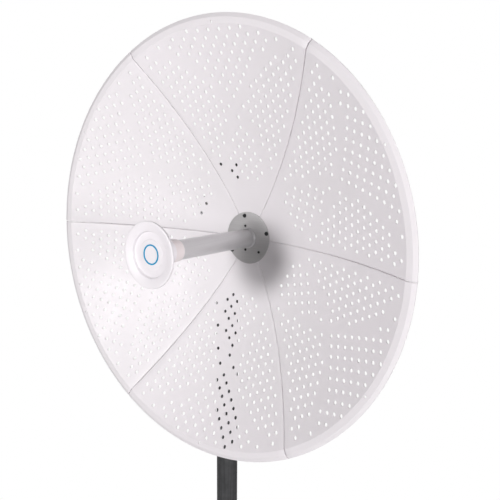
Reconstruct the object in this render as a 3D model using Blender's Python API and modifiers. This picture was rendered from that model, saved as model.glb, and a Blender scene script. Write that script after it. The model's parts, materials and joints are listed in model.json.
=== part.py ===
"""Centre-fed parabolic dish of six petals on a side-offset pole mount, in separate pieces.

Metres, +Z up. The origin is the centre of the mast's foot. The dish looks along -Y.
"""
import math

import bmesh
import bpy
from mathutils import Euler, Matrix, Vector

# ---------------------------------------------------------------- driving dimensions
RIM_RADIUS = 0.4572
FOCAL_LENGTH = 0.3137
SHEET = 0.0016
PETALS = 6
SEAM_ANGLE = math.radians(0.14)
PETAL_INNER_RADIUS = 0.048
LIP_START = 0.962 * RIM_RADIUS
LIP_CREST = 0.982 * RIM_RADIUS
LIP_RISE = 0.0016
LIP_DROP = 0.0022
RIB_DEPTH = 0.012
LIP_TAB = 0.004

MAST_RADIUS = 0.0285
MAST_WALL = 0.0029
MAST_ABOVE_DISH = 0.156
DISH_HEIGHT = 1.0
DISH_SIDE = 0.1545
DISH_FORWARD = 0.1143
REST_TILT = math.radians(3.0)
PIVOT_BACK = 0.050

HUB_PLATE_RADIUS = 0.0586
HUB_PLATE_BACK = 0.0030
HUB_PLATE_FRONT = 0.0046
HUB_BACKING_RADIUS = 0.064
HUB_BACKING = 0.005
HUB_CLEARANCE = 0.094
HUB_BOLTS = ((102.5, 0.0506), (217.8, 0.0540), (17.2, 0.0535))
FEED_SCREWS = ((106.0, 0.0279), (260.0, 0.0279), (318.6, 0.0430))

TUBE_RADIUS = 0.02025
TUBE_WALL = 0.002
TUBE_END = 0.270
COLLAR_START = 0.2363
COVER_START = 0.262
DISC_RADIUS = 0.064
DISC_SPLIT = 0.3110
DISC_FACE = 0.3060
DISC_EDGE = 0.3146

PLATE = 0.004
INNER_EAR = 0.049
OUTER_EAR = 0.0535
BRACKET_DEPTH = 0.062
WEB_FRONT = 0.0408
CLAMP_X = 0.042
CLAMP_Z = 0.050
JAW_HEIGHT = 0.030
LOCK_RADIUS = 0.045
LOCK_ANGLE = math.radians(95)
LINK_RADIUS = 0.095
SWIVEL_LUG = 0.0152
ROD_LUG = 0.0075
EYE_RADIUS = 0.009
EYE_HALF = 0.005
ROD_END = 0.118
SWIVEL_RADIUS = 0.011
SWIVEL_HALF = 0.0127
SWIVEL_TRUNNION = 0.0170

HEAD_FLATS = 1.65
HEAD_HEIGHT = 0.65
NUT_HEIGHT = 0.8
CLAMP_BOLT = 0.010
PIVOT_BOLT = 0.010
ROD_SIZE = 0.010
LOCK_BOLT = 0.008
HUB_BOLT = 0.0045
FEED_SCREW = 0.0028
CLAMP_HOLE = 0.0055
PIVOT_HOLE = 0.0053
LOCK_HOLE = 0.0043
HUB_BOLT_HOLE = 0.0027
FEED_SCREW_HOLE = 0.0018
ROD_PIN_ANGLE = math.radians(-108)
SWIVEL_ANGLE = math.radians(-68)
TILT_UP = math.radians(17)
TILT_DOWN = math.radians(18)
GAP = 0.0003
CLEARANCE = 0.0005
WELD = 0.00001

SIDES = 32
ALONG_X = Euler((0, math.pi / 2, 0))
ALONG_MINUS_X = Euler((0, -math.pi / 2, 0))
ALONG_Y = Euler((-math.pi / 2, 0, 0))
ALONG_MINUS_Y = Euler((math.pi / 2, 0, 0))


# ---------------------------------------------------------------- scene and materials
def clear_scene():
    """Remove whatever the scene holds."""
    for thing in list(bpy.data.objects):
        bpy.data.objects.remove(thing, do_unlink=True)


def collection(name):
    """A new collection linked to the scene."""
    group = bpy.data.collections.new(name)
    bpy.context.scene.collection.children.link(group)
    return group


def finish(name, colour, roughness, metallic):
    """A Principled BSDF material."""
    material = bpy.data.materials.new(name)
    material.use_nodes = True
    shader = material.node_tree.nodes["Principled BSDF"]
    shader.inputs["Base Color"].default_value = (*colour, 1.0)
    shader.inputs["Roughness"].default_value = roughness
    shader.inputs["Metallic"].default_value = metallic
    return material


clear_scene()
PARTS = collection("petal_dish")
CUTTERS = collection("cutters")
FINISHES = {
    "white_paint": finish("white_paint", (0.86, 0.85, 0.86), 0.45, 0.0),
    "galvanised": finish("galvanised", (0.30, 0.31, 0.31), 0.55, 0.8),
    "zinc": finish("zinc", (0.55, 0.56, 0.57), 0.40, 0.9),
    "dark_bolt": finish("dark_bolt", (0.08, 0.08, 0.08), 0.45, 0.8),
    "aluminium": finish("aluminium", (0.62, 0.62, 0.63), 0.35, 0.9),
    "white_plastic": finish("white_plastic", (0.88, 0.86, 0.87), 0.40, 0.0),
    "blue_print": finish("blue_print", (0.0, 0.32, 0.60), 0.40, 0.0),
    "black_plastic": finish("black_plastic", (0.04, 0.04, 0.04), 0.50, 0.0),
    "dielectric": finish("dielectric", (0.90, 0.90, 0.88), 0.50, 0.0),
    "brass": finish("brass", (0.75, 0.72, 0.62), 0.30, 0.9),
}


# ---------------------------------------------------------------- building blocks
def empty(name, location, rotation=(0, 0, 0), parent=None):
    """A parent on an axis."""
    holder = bpy.data.objects.new(name, None)
    PARTS.objects.link(holder)
    holder.parent = parent
    holder.location = location
    holder.rotation_euler = rotation
    return holder


def place(name, data, material, parent=None, location=(0, 0, 0), rotation=(0, 0, 0)):
    """An object in the parts collection, with its one material."""
    piece = bpy.data.objects.new(name, data)
    PARTS.objects.link(piece)
    data.materials.clear()
    data.materials.append(FINISHES[material])
    piece.parent = parent
    piece.location = location
    piece.rotation_euler = rotation
    return piece


def as_cutter(piece):
    """Move an object to the cutters, out of renders."""
    PARTS.objects.unlink(piece)
    CUTTERS.objects.link(piece)
    piece.hide_render = True
    piece.display_type = "WIRE"
    return piece


def boolean(piece, tool, operation="DIFFERENCE"):
    """Combine a piece with a tool object."""
    modifier = piece.modifiers.new(operation.lower() + "_" + tool.name, "BOOLEAN")
    modifier.operation = operation
    modifier.solver = "EXACT"
    modifier.object = tool


def circle(radius, count=SIDES, centre=(0.0, 0.0), phase=0.0):
    """Points round a circle, anticlockwise."""
    steps = [phase + 2 * math.pi * step / count for step in range(count)]
    return [(centre[0] + radius * math.cos(a), centre[1] + radius * math.sin(a)) for a in steps]


def polar(degrees, radius):
    """A point at an angle and radius."""
    angle = math.radians(degrees)
    return (radius * math.cos(angle), radius * math.sin(angle))


def outline_curve(name, outline, holes, thickness):
    """A filled flat outline with holes, thickened both ways about z = 0."""
    curve = bpy.data.curves.new(name, "CURVE")
    curve.dimensions = "2D"
    curve.fill_mode = "BOTH"
    curve.extrude = thickness / 2
    for ring in (outline, *holes):
        spline = curve.splines.new("POLY")
        spline.points.add(len(ring) - 1)
        for point, (x, y) in zip(spline.points, ring):
            point.co = (x, y, 0, 1)
        spline.use_cyclic_u = True
    return curve


def welded_mesh(curve):
    """The solid of a curve as a welded mesh, ready to cut or join."""
    source = bpy.data.objects.new(curve.name + "_curve", curve)
    PARTS.objects.link(source)
    depsgraph = bpy.context.evaluated_depsgraph_get()
    mesh = bpy.data.meshes.new_from_object(source.evaluated_get(depsgraph))
    bpy.data.objects.remove(source)
    shape = bmesh.new()
    shape.from_mesh(mesh)
    bmesh.ops.remove_doubles(shape, verts=shape.verts, dist=WELD)
    shape.to_mesh(mesh)
    shape.free()
    return mesh


def outline_mesh(name, outline, thickness):
    """A flat outline, thickened, as a welded mesh."""
    return welded_mesh(outline_curve(name, outline, (), thickness))


def turned(name, profile, material, parent, ring=False, sides=SIDES, location=(0, 0, 0), rotation=(0, 0, 0)):
    """Turn an (radius, height) profile about local Z; a ring profile closes on itself."""
    mesh = bpy.data.meshes.new(name)
    shape = bmesh.new()
    points = [shape.verts.new((radius, 0, height)) for radius, height in profile]
    followers = points[1:] + points[:1] if ring else points[1:]
    for start, end in zip(points, followers):
        shape.edges.new((start, end))
    shape.to_mesh(mesh)
    shape.free()
    piece = place(name, mesh, material, parent, location, rotation)
    screw = piece.modifiers.new("turn", "SCREW")
    screw.steps = sides
    screw.render_steps = sides
    screw.use_merge_vertices = True
    screw.merge_threshold = WELD
    screw.use_smooth_shade = True
    return piece


def loft_mesh(name, rings, closed):
    """Skin rings of equal count; capped at both ends unless the last joins the first."""
    mesh = bpy.data.meshes.new(name)
    shape = bmesh.new()
    loops = [[shape.verts.new(point) for point in ring] for ring in rings]
    followers = loops[1:] + loops[:1] if closed else loops[1:]
    for upper, lower in zip(loops, followers):
        for here in range(len(upper)):
            after = (here + 1) % len(upper)
            shape.faces.new((upper[here], lower[here], lower[after], upper[after]))
    if not closed:
        shape.faces.new(loops[0])
        shape.faces.new(list(reversed(loops[-1])))
    bmesh.ops.recalc_face_normals(shape, faces=shape.faces)
    shape.to_mesh(mesh)
    shape.free()
    return mesh


def hexagon(flats, height):
    """A hexagon of twelve points, corners and mid-flats, at one height."""
    corner = flats / math.sqrt(3)
    radii = [corner if step % 2 == 0 else flats / 2 for step in range(12)]
    turns = [step * math.pi / 6 for step in range(12)]
    return [(r * math.cos(a), r * math.sin(a), height) for r, a in zip(radii, turns)]


def round_ring(radius, height):
    """Twelve points on a circle at one height."""
    return [(x, y, height) for x, y in circle(radius, 12)]


def bolt(name, size, length, material, parent, location, rotation):
    """A hexagon bolt: head above z = 0, shank of the stated length below it."""
    flats, head, radius = size * HEAD_FLATS, size * HEAD_HEIGHT, size / 2
    rings = (hexagon(flats, head), hexagon(flats, 0), round_ring(radius, 0), round_ring(radius, -length))
    return place(name, loft_mesh(name, rings, False), material, parent, location, rotation)


def nut(name, size, material, parent, location, rotation):
    """A hexagon nut that sits above z = 0 on a bolt of the stated size."""
    flats, height, bore = size * HEAD_FLATS, size * NUT_HEIGHT, size / 2 + GAP
    rings = (hexagon(flats, height), hexagon(flats, 0), round_ring(bore, 0), round_ring(bore, height))
    return place(name, loft_mesh(name, rings, True), material, parent, location, rotation)


def cylinder_cutter(name, radius, length, parent, location, rotation=(0, 0, 0), sides=24):
    """A solid cylinder for cutting, centred on its location."""
    mesh = bpy.data.meshes.new(name)
    shape = bmesh.new()
    bmesh.ops.create_cone(shape, cap_ends=True, segments=sides, radius1=radius, radius2=radius, depth=length)
    shape.to_mesh(mesh)
    shape.free()
    return as_cutter(place(name, mesh, "zinc", parent, location, rotation))


def box_cutter(name, size, parent, location):
    """A solid box for cutting, centred on its location."""
    mesh = bpy.data.meshes.new(name)
    shape = bmesh.new()
    bmesh.ops.create_cube(shape, size=1.0)
    bmesh.ops.scale(shape, vec=size, verts=shape.verts)
    shape.to_mesh(mesh)
    shape.free()
    return as_cutter(place(name, mesh, "zinc", parent, location))


def side_plate(name, outline, thickness, parent, x):
    """A plate whose outline is given as (y, z), standing across X; a tool for boolean work."""
    mesh = outline_mesh(name, outline, thickness)
    stand = Matrix(((0, 0, 1), (1, 0, 0), (0, 1, 0))).to_euler()
    return as_cutter(place(name, mesh, "zinc", parent, (x, 0, 0), stand))


# ---------------------------------------------------------------- axes of the assembly
VERTEX = Vector((DISH_SIDE, -DISH_FORWARD, DISH_HEIGHT))
TILT = Euler((-REST_TILT, 0, 0))
PIVOT = VERTEX + TILT.to_matrix() @ Vector((0, PIVOT_BACK, 0))


def around_pivot(radius, angle):
    """A point at rest on a circle round the tilting pivot, from +Y towards +Z."""
    return PIVOT + Vector((0, radius * math.cos(angle), radius * math.sin(angle)))


ROD_PIN = around_pivot(LINK_RADIUS, ROD_PIN_ANGLE)
SWIVEL = around_pivot(LINK_RADIUS, SWIVEL_ANGLE)
ROD_LEAN = math.atan2(SWIVEL.z - ROD_PIN.z, SWIVEL.y - ROD_PIN.y)

mast_axis = empty("mast_axis", (0, 0, 0))
tilt_axis = empty("tilt_axis", PIVOT, TILT, mast_axis)
dish_frame = empty("dish_frame", (0, -PIVOT_BACK, 0), parent=tilt_axis)
feed_axis = empty("feed_axis", (0, 0, 0), ALONG_MINUS_Y, dish_frame)
rod_axis = empty("rod_axis", ROD_PIN, (ROD_LEAN, 0, 0), mast_axis)
swivel_axis = empty("swivel_axis", SWIVEL, (ROD_LEAN, 0, 0), mast_axis)


# ---------------------------------------------------------------- mast
def build_mast():
    """Tube, top cap and foot plug."""
    bore = MAST_RADIUS - MAST_WALL
    foot = 0.004
    top = DISH_HEIGHT + MAST_ABOVE_DISH - 0.003
    tube = [(MAST_RADIUS, top), (MAST_RADIUS, foot + GAP), (bore, foot + GAP), (bore, top)]
    turned("mast_tube", tube, "galvanised", mast_axis, ring=True)
    sleeve, shell = MAST_RADIUS + GAP, MAST_RADIUS + 0.0018
    crown = top + 0.003
    cap = [(0, crown), (shell - 0.002, crown), (shell, crown - 0.002), (shell, top - 0.022),
           (sleeve, top - 0.022), (sleeve, top + GAP), (0, top + GAP)]
    turned("mast_cap", cap, "black_plastic", mast_axis)
    spigot = bore - GAP
    plug = [(0, 0.028), (spigot - 0.0015, 0.028), (spigot, 0.0265), (spigot, foot),
            (MAST_RADIUS, foot), (MAST_RADIUS, 0.001), (MAST_RADIUS - 0.001, 0), (0, 0)]
    turned("mast_foot_plug", plug, "black_plastic", mast_axis)


# ---------------------------------------------------------------- pole mount
def jaw_outline(face, lip):
    """Half-clamp seen from above: flat face away from the mast, a V towards it."""
    half = 0.052
    v_half = 0.033
    slope = math.tan(math.radians(30))
    apex = (MAST_RADIUS + GAP) / math.cos(math.radians(30))
    mouth = apex - v_half * slope
    return [(-half, -face), (half, -face), (half, -lip), (v_half + 0.002, -lip),
            (v_half, -mouth), (0, -apex), (-v_half, -mouth), (-v_half - 0.002, -lip), (-half, -lip)]


def build_clamps():
    """Saddles in front of the mast, jaws behind it, and their bolts."""
    web_back = WEB_FRONT - PLATE
    face = web_back - GAP
    lip = 0.0118
    for level, side in (("upper", 1), ("lower", -1)):
        height = DISH_HEIGHT + side * CLAMP_Z
        tool = box_pair_cutter("clamp_holes_" + level, height)
        saddle = outline_mesh(level + "_saddle", jaw_outline(face, lip), JAW_HEIGHT)
        jaw = outline_mesh(level + "_jaw", jaw_outline(face - 0.0005, lip), JAW_HEIGHT)
        front = place(level + "_saddle", saddle, "zinc", mast_axis, (0, 0, height))
        rear = place(level + "_jaw", jaw, "zinc", mast_axis, (0, 0, height), (0, 0, math.pi))
        for piece in (front, rear):
            boolean(piece, tool)
    number = 0
    for z in (DISH_HEIGHT + CLAMP_Z, DISH_HEIGHT - CLAMP_Z):
        for x in (-CLAMP_X, CLAMP_X):
            number += 1
            bolt(f"clamp_bolt_{number}", CLAMP_BOLT, WEB_FRONT + 0.058, "zinc", mast_axis,
                 (x, -WEB_FRONT - GAP, z), ALONG_MINUS_Y)
            nut(f"clamp_nut_{number}", CLAMP_BOLT, "zinc", mast_axis, (x, face + GAP, z), ALONG_Y)


def box_pair_cutter(name, height):
    """Two clamp-bolt holes as one cutter, through everything at one height."""
    mesh = bpy.data.meshes.new(name)
    shape = bmesh.new()
    for x in (-CLAMP_X, CLAMP_X):
        spin = Matrix.Translation((x, 0, 0)) @ ALONG_Y.to_matrix().to_4x4()
        bmesh.ops.create_cone(shape, cap_ends=True, segments=16, radius1=CLAMP_HOLE, radius2=CLAMP_HOLE,
                              depth=0.2, matrix=spin)
    shape.to_mesh(mesh)
    shape.free()
    return as_cutter(place(name, mesh, "zinc", mast_axis, (0, 0, height)))


def slot_outline():
    """The locking slot: an arc round the pivot with round ends, as (y, z) from the pivot."""
    half = 0.0045
    centre = LOCK_ANGLE - REST_TILT
    start, end = centre - TILT_UP, centre + TILT_DOWN
    spread = math.radians(1.5)
    steps = 10
    angles = [start - spread + (end - start + 2 * spread) * step / steps for step in range(steps + 1)]
    outer = [polar(math.degrees(a), LOCK_RADIUS + half) for a in angles]
    inner = [polar(math.degrees(a), LOCK_RADIUS - half) for a in reversed(angles)]
    far, near = polar(math.degrees(angles[-1]), LOCK_RADIUS), polar(math.degrees(angles[0]), LOCK_RADIUS)
    cap_far = [(far[0] + half * math.cos(angles[-1] + math.radians(k)),
                far[1] + half * math.sin(angles[-1] + math.radians(k))) for k in (45, 90, 135)]
    cap_near = [(near[0] + half * math.cos(angles[0] + math.radians(k)),
                 near[1] + half * math.sin(angles[0] + math.radians(k))) for k in (-135, -90, -45)]
    return outer + cap_far + inner + cap_near


def build_pole_bracket():
    """Folded plate: a web across the mast and two forward ears that carry the tilt pivots."""
    left, right = DISH_SIDE - OUTER_EAR, DISH_SIDE + OUTER_EAR
    front, back, reach = -WEB_FRONT, -WEB_FRONT + PLATE, -0.1
    plan = [(-0.054, back), (-0.054, front), (left, front), (left, reach), (left + PLATE, reach),
            (left + PLATE, front), (right - PLATE, front), (right - PLATE, reach), (right, reach), (right, back)]
    mesh = outline_mesh("pole_bracket", plan, 0.150)
    bracket = place("pole_bracket", mesh, "zinc", mast_axis, (0, 0, DISH_HEIGHT))
    web_y = back - PIVOT.y
    profile = [(web_y + 0.002, -0.072), (web_y - 0.006, -0.072), (web_y - 0.006, -0.050), (0.000, -0.030),
               (-0.018, -0.026), (-0.028, -0.012), (-0.030, 0.046), (-0.026, 0.056), (-0.018, 0.061),
               (0.012, 0.061), (web_y - 0.006, 0.068), (web_y - 0.006, 0.072), (web_y + 0.002, 0.072)]
    world = [(PIVOT.y + y, PIVOT.z + z) for y, z in profile]
    boolean(bracket, side_plate("bracket_profile", world, 0.6, mast_axis, 0.1), "INTERSECT")
    for name, side in (("swivel_lug_left", -1), ("swivel_lug_right", 1)):
        lug = [(front + 0.001, PIVOT.z - 0.060), (back + 0.0005, PIVOT.z - 0.060), (back + 0.014, PIVOT.z - 0.078),
               (SWIVEL.y + 0.010, SWIVEL.z - 0.004), (SWIVEL.y + 0.004, SWIVEL.z - 0.010),
               (SWIVEL.y - 0.006, SWIVEL.z - 0.009), (front + 0.001, PIVOT.z - 0.074)]
        boolean(bracket, side_plate(name, lug, PLATE, mast_axis, DISH_SIDE + side * SWIVEL_LUG), "UNION")
    window = box_cutter("cable_window", (0.086, 0.03, 0.104), mast_axis, (DISH_SIDE, -WEB_FRONT, PIVOT.z + 0.001))
    boolean(bracket, window)
    pivot_hole = cylinder_cutter("pivot_hole", PIVOT_HOLE, 0.15, mast_axis, PIVOT, ALONG_X)
    boolean(bracket, pivot_hole)
    slot = [(PIVOT.y + y, PIVOT.z + z) for y, z in slot_outline()]
    boolean(bracket, side_plate("lock_slot", slot, 0.15, mast_axis, DISH_SIDE))
    boolean(bracket, cylinder_cutter("swivel_hole", LOCK_HOLE, 0.08, mast_axis, SWIVEL, ALONG_X))
    for level in ("upper", "lower"):
        boolean(bracket, bpy.data.objects["clamp_holes_" + level])


def build_pivot_bolts():
    """The two bolts that the dish tilts on; heads outside, nuts inside."""
    for name, side, out, into in (("left", -1, ALONG_MINUS_X, ALONG_X), ("right", 1, ALONG_X, ALONG_MINUS_X)):
        head = (DISH_SIDE + side * (OUTER_EAR + GAP), PIVOT.y, PIVOT.z)
        seat = (DISH_SIDE + side * (INNER_EAR - PLATE - GAP), PIVOT.y, PIVOT.z)
        bolt("pivot_bolt_" + name, PIVOT_BOLT, 0.020, "zinc", mast_axis, head, out)
        nut("pivot_nut_" + name, PIVOT_BOLT, "zinc", mast_axis, seat, into)


# ---------------------------------------------------------------- tilting rod
def build_rod():
    """Eye rod pinned to the dish, sliding through a swivel block between two nuts."""
    rod = bpy.data.curves.new("elevation_rod", "CURVE")
    rod.dimensions = "3D"
    rod.bevel_depth = ROD_SIZE / 2
    rod.bevel_resolution = 2
    rod.use_fill_caps = True
    spline = rod.splines.new("POLY")
    spline.points.add(1)
    spline.points[0].co = (0, 0.006, 0, 1)
    spline.points[1].co = (0, ROD_END, 0, 1)
    rod_tool = as_cutter(place("rod_shank", welded_mesh(rod), "zinc", rod_axis))
    rings = [[(x, y, z) for x, y in circle(r, 24)] for r, z in
             ((EYE_RADIUS, EYE_HALF), (EYE_RADIUS, -EYE_HALF), (LOCK_HOLE, -EYE_HALF), (LOCK_HOLE, EYE_HALF))]
    rod_piece = place("elevation_rod", loft_mesh("elevation_rod", rings, True), "zinc", rod_axis,
                      rotation=ALONG_X)
    boolean(rod_piece, rod_tool, "UNION")
    trunnion = LOCK_BOLT / 2
    profile = [(0, SWIVEL_TRUNNION), (trunnion, SWIVEL_TRUNNION), (trunnion, SWIVEL_HALF),
               (SWIVEL_RADIUS, SWIVEL_HALF), (SWIVEL_RADIUS, -SWIVEL_HALF), (trunnion, -SWIVEL_HALF),
               (trunnion, -SWIVEL_TRUNNION), (0, -SWIVEL_TRUNNION)]
    swivel = turned("rod_swivel", profile, "zinc", swivel_axis, sides=24, rotation=ALONG_X)
    boolean(swivel, cylinder_cutter("rod_bore", ROD_SIZE / 2 + CLEARANCE, 0.05, swivel_axis, (0, 0, 0), ALONG_Y, 16))
    seat = SWIVEL_RADIUS + GAP
    for name, offset, turn in (("rod_nut_front", -seat, ALONG_MINUS_Y), ("rod_nut_rear", seat, ALONG_Y)):
        nut(name, ROD_SIZE + 0.0004, "zinc", swivel_axis, (0, offset, 0), turn)


# ---------------------------------------------------------------- reflector
def bowl_depth(radius):
    """How far forward of the vertex the reflector stands at a radius."""
    return radius * radius / (4 * FOCAL_LENGTH)


def petal_stations():
    """Radii and forward distances from the hub to the outer edge of the lip."""
    rows = 8
    span = LIP_START - HUB_PLATE_RADIUS
    radii = [PETAL_INNER_RADIUS] + [HUB_PLATE_RADIUS + span * row / rows for row in range(rows + 1)]
    stations = [(r, bowl_depth(r)) for r in radii]
    crest = bowl_depth(LIP_START) + LIP_RISE
    stations.append((LIP_CREST, crest))
    stations.append((LIP_CREST + 0.6 * (RIM_RADIUS - LIP_CREST), crest - 0.25 * LIP_DROP))
    stations.append((RIM_RADIUS, crest - LIP_DROP))
    return stations


def petal_mesh(name):
    """One petal as an open sheet: face, rolled lip and a rib folded back along each seam."""
    stations = petal_stations()
    columns = 10
    half = math.pi / PETALS - SEAM_ANGLE / 2
    mesh = bpy.data.meshes.new(name)
    shape = bmesh.new()
    bmesh.ops.create_grid(shape, x_segments=columns + 2, y_segments=len(stations) - 1, size=0.5)
    for vert in shape.verts:
        column = round((vert.co.x + 0.5) * (columns + 2)) - 1
        radius, forward = stations[round((vert.co.y + 0.5) * (len(stations) - 1))]
        depth = RIB_DEPTH if radius < LIP_START else LIP_TAB
        back = depth if column < 0 or column > columns else 0
        angle = math.pi / 2 + half * (1 - 2 * min(max(column, 0), columns) / columns)
        vert.co = (radius * math.cos(angle), radius * math.sin(angle), forward - back)
    shape.to_mesh(mesh)
    shape.free()
    return mesh


def build_petals():
    """Six petals round the boresight, cleared for the hub and its bolts."""
    depth = 0.03
    hub_clearance = cylinder_cutter("hub_clearance", HUB_CLEARANCE, depth, feed_axis, (0, 0, -depth / 2), sides=48)
    bolt_mesh = bpy.data.meshes.new("hub_bolt_holes")
    shape = bmesh.new()
    for degrees, radius in HUB_BOLTS:
        x, y = polar(degrees, radius)
        bmesh.ops.create_cone(shape, cap_ends=True, segments=12, radius1=HUB_BOLT_HOLE, radius2=HUB_BOLT_HOLE,
                              depth=0.008, matrix=Matrix.Translation((x, y, 0.0035)))
    shape.to_mesh(bolt_mesh)
    shape.free()
    holes = as_cutter(place("hub_bolt_holes", bolt_mesh, "zinc", feed_axis))
    for number in range(PETALS):
        name = f"petal_{number + 1}"
        turn = -number * 2 * math.pi / PETALS
        petal = place(name, petal_mesh(name), "white_paint", feed_axis, rotation=(0, 0, turn))
        wall = petal.modifiers.new("sheet", "SOLIDIFY")
        wall.thickness = SHEET
        wall.offset = -1
        wall.use_even_offset = True
        boolean(petal, hub_clearance)
        boolean(petal, holes)
        petal.data.shade_smooth()
        petal.data.set_sharp_from_angle(angle=math.radians(30))


def build_hub():
    """Front plate, backing plate, bolts, screws and the ring at the foot of the feed tube."""
    bore = TUBE_RADIUS + CLEARANCE
    bolt_holes = [circle(HUB_BOLT_HOLE, 12, polar(*place_at)) for place_at in HUB_BOLTS]
    screw_holes = [circle(FEED_SCREW_HOLE, 12, polar(*place_at)) for place_at in FEED_SCREWS]
    drilled = [circle(bore), *bolt_holes, *screw_holes]
    front = outline_curve("hub_front_plate", circle(HUB_PLATE_RADIUS, 48), drilled, HUB_PLATE_FRONT - HUB_PLATE_BACK)
    place("hub_front_plate", front, "aluminium", feed_axis, (0, 0, (HUB_PLATE_FRONT + HUB_PLATE_BACK) / 2))
    backing = outline_curve("hub_backing_plate", circle(HUB_BACKING_RADIUS, 48), drilled, HUB_BACKING)
    place("hub_backing_plate", backing, "zinc", feed_axis, (0, 0, -0.0004 - HUB_BACKING / 2))
    depth = HUB_PLATE_FRONT + 0.005
    for number, place_at in enumerate(HUB_BOLTS, 1):
        x, y = polar(*place_at)
        bolt(f"hub_bolt_{number}", HUB_BOLT, depth, "dark_bolt", feed_axis, (x, y, HUB_PLATE_FRONT + GAP), (0, 0, 0.3))
    for number, place_at in enumerate(FEED_SCREWS, 1):
        x, y = polar(*place_at)
        bolt(f"feed_screw_{number}", FEED_SCREW, depth, "dark_bolt", feed_axis, (x, y, HUB_PLATE_FRONT + GAP), (0, 0, 0.5))
    foot = HUB_PLATE_FRONT + GAP
    ring = [(0.0226, foot + 0.0070), (0.0226, foot), (bore, foot), (bore, foot + 0.0076), (0.0220, foot + 0.0076)]
    turned("feed_base_ring", ring, "aluminium", feed_axis, ring=True)


# ---------------------------------------------------------------- bracket on the back of the dish
def build_elevation_bracket():
    """Folded channel behind the hub, with the tilt pivots, lock bolts and the lugs for the rod."""
    face = HUB_BACKING + 0.0004 + GAP
    outer, inner = INNER_EAR, INNER_EAR - PLATE
    plan = [(-outer, face), (outer, face), (outer, BRACKET_DEPTH), (inner, BRACKET_DEPTH),
            (inner, face + PLATE), (-inner, face + PLATE), (-inner, BRACKET_DEPTH), (-outer, BRACKET_DEPTH)]
    mesh = outline_mesh("elevation_bracket", plan, 0.16)
    bracket = place("elevation_bracket", mesh, "zinc", dish_frame)
    profile = [(0.0, -0.073), (face + PLATE + 0.004, -0.073), (0.038, -0.034), (0.056, -0.020), (0.0615, -0.010),
               (0.0615, 0.014), (0.0535, 0.052), (0.048, 0.058), (face + PLATE + 0.006, 0.058),
               (face + PLATE + 0.001, 0.064), (0.0, 0.064)]
    boolean(bracket, side_plate("channel_profile", profile, 0.2, dish_frame, 0), "INTERSECT")
    to_dish = TILT.to_matrix().inverted()
    pin = to_dish @ (ROD_PIN - VERTEX)
    lug = [(face + 0.001, -0.062), (face + PLATE + 0.003, -0.062), (pin.y + 0.007, -0.080),
           (pin.y + 0.009, pin.z), (pin.y + 0.006, pin.z - 0.007), (pin.y - 0.004, pin.z - 0.009),
           (face + 0.001, -0.072)]
    for name, side in (("rod_lug_left", -1), ("rod_lug_right", 1)):
        boolean(bracket, side_plate(name, lug, PLATE, dish_frame, side * ROD_LUG), "UNION")
    boolean(bracket, cylinder_cutter("feed_bore", 0.0235, 0.03, dish_frame, (0, face, 0), ALONG_Y))
    boolean(bracket, cylinder_cutter("tilt_holes", PIVOT_HOLE, 0.12, dish_frame, (0, PIVOT_BACK, 0), ALONG_X))
    boolean(bracket, cylinder_cutter("rod_pin_hole", LOCK_HOLE, 0.04, dish_frame, (0, pin.y, pin.z), ALONG_X))
    lock = (PIVOT_BACK + LOCK_RADIUS * math.cos(LOCK_ANGLE), LOCK_RADIUS * math.sin(LOCK_ANGLE))
    boolean(bracket, cylinder_cutter("lock_holes", LOCK_HOLE, 0.12, dish_frame, (0, *lock), ALONG_X))
    for name, side, out, into in (("left", -1, ALONG_MINUS_X, ALONG_X), ("right", 1, ALONG_X, ALONG_MINUS_X)):
        bolt("lock_bolt_" + name, LOCK_BOLT, 0.0175, "zinc", dish_frame, (side * (OUTER_EAR + GAP), *lock), out)
        nut("lock_nut_" + name, LOCK_BOLT, "zinc", dish_frame, (side * (INNER_EAR - PLATE - GAP), *lock), into)
    bolt("rod_pin", LOCK_BOLT, 0.023, "zinc", dish_frame, (0.0095 + GAP, pin.y, pin.z), ALONG_X)


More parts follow.
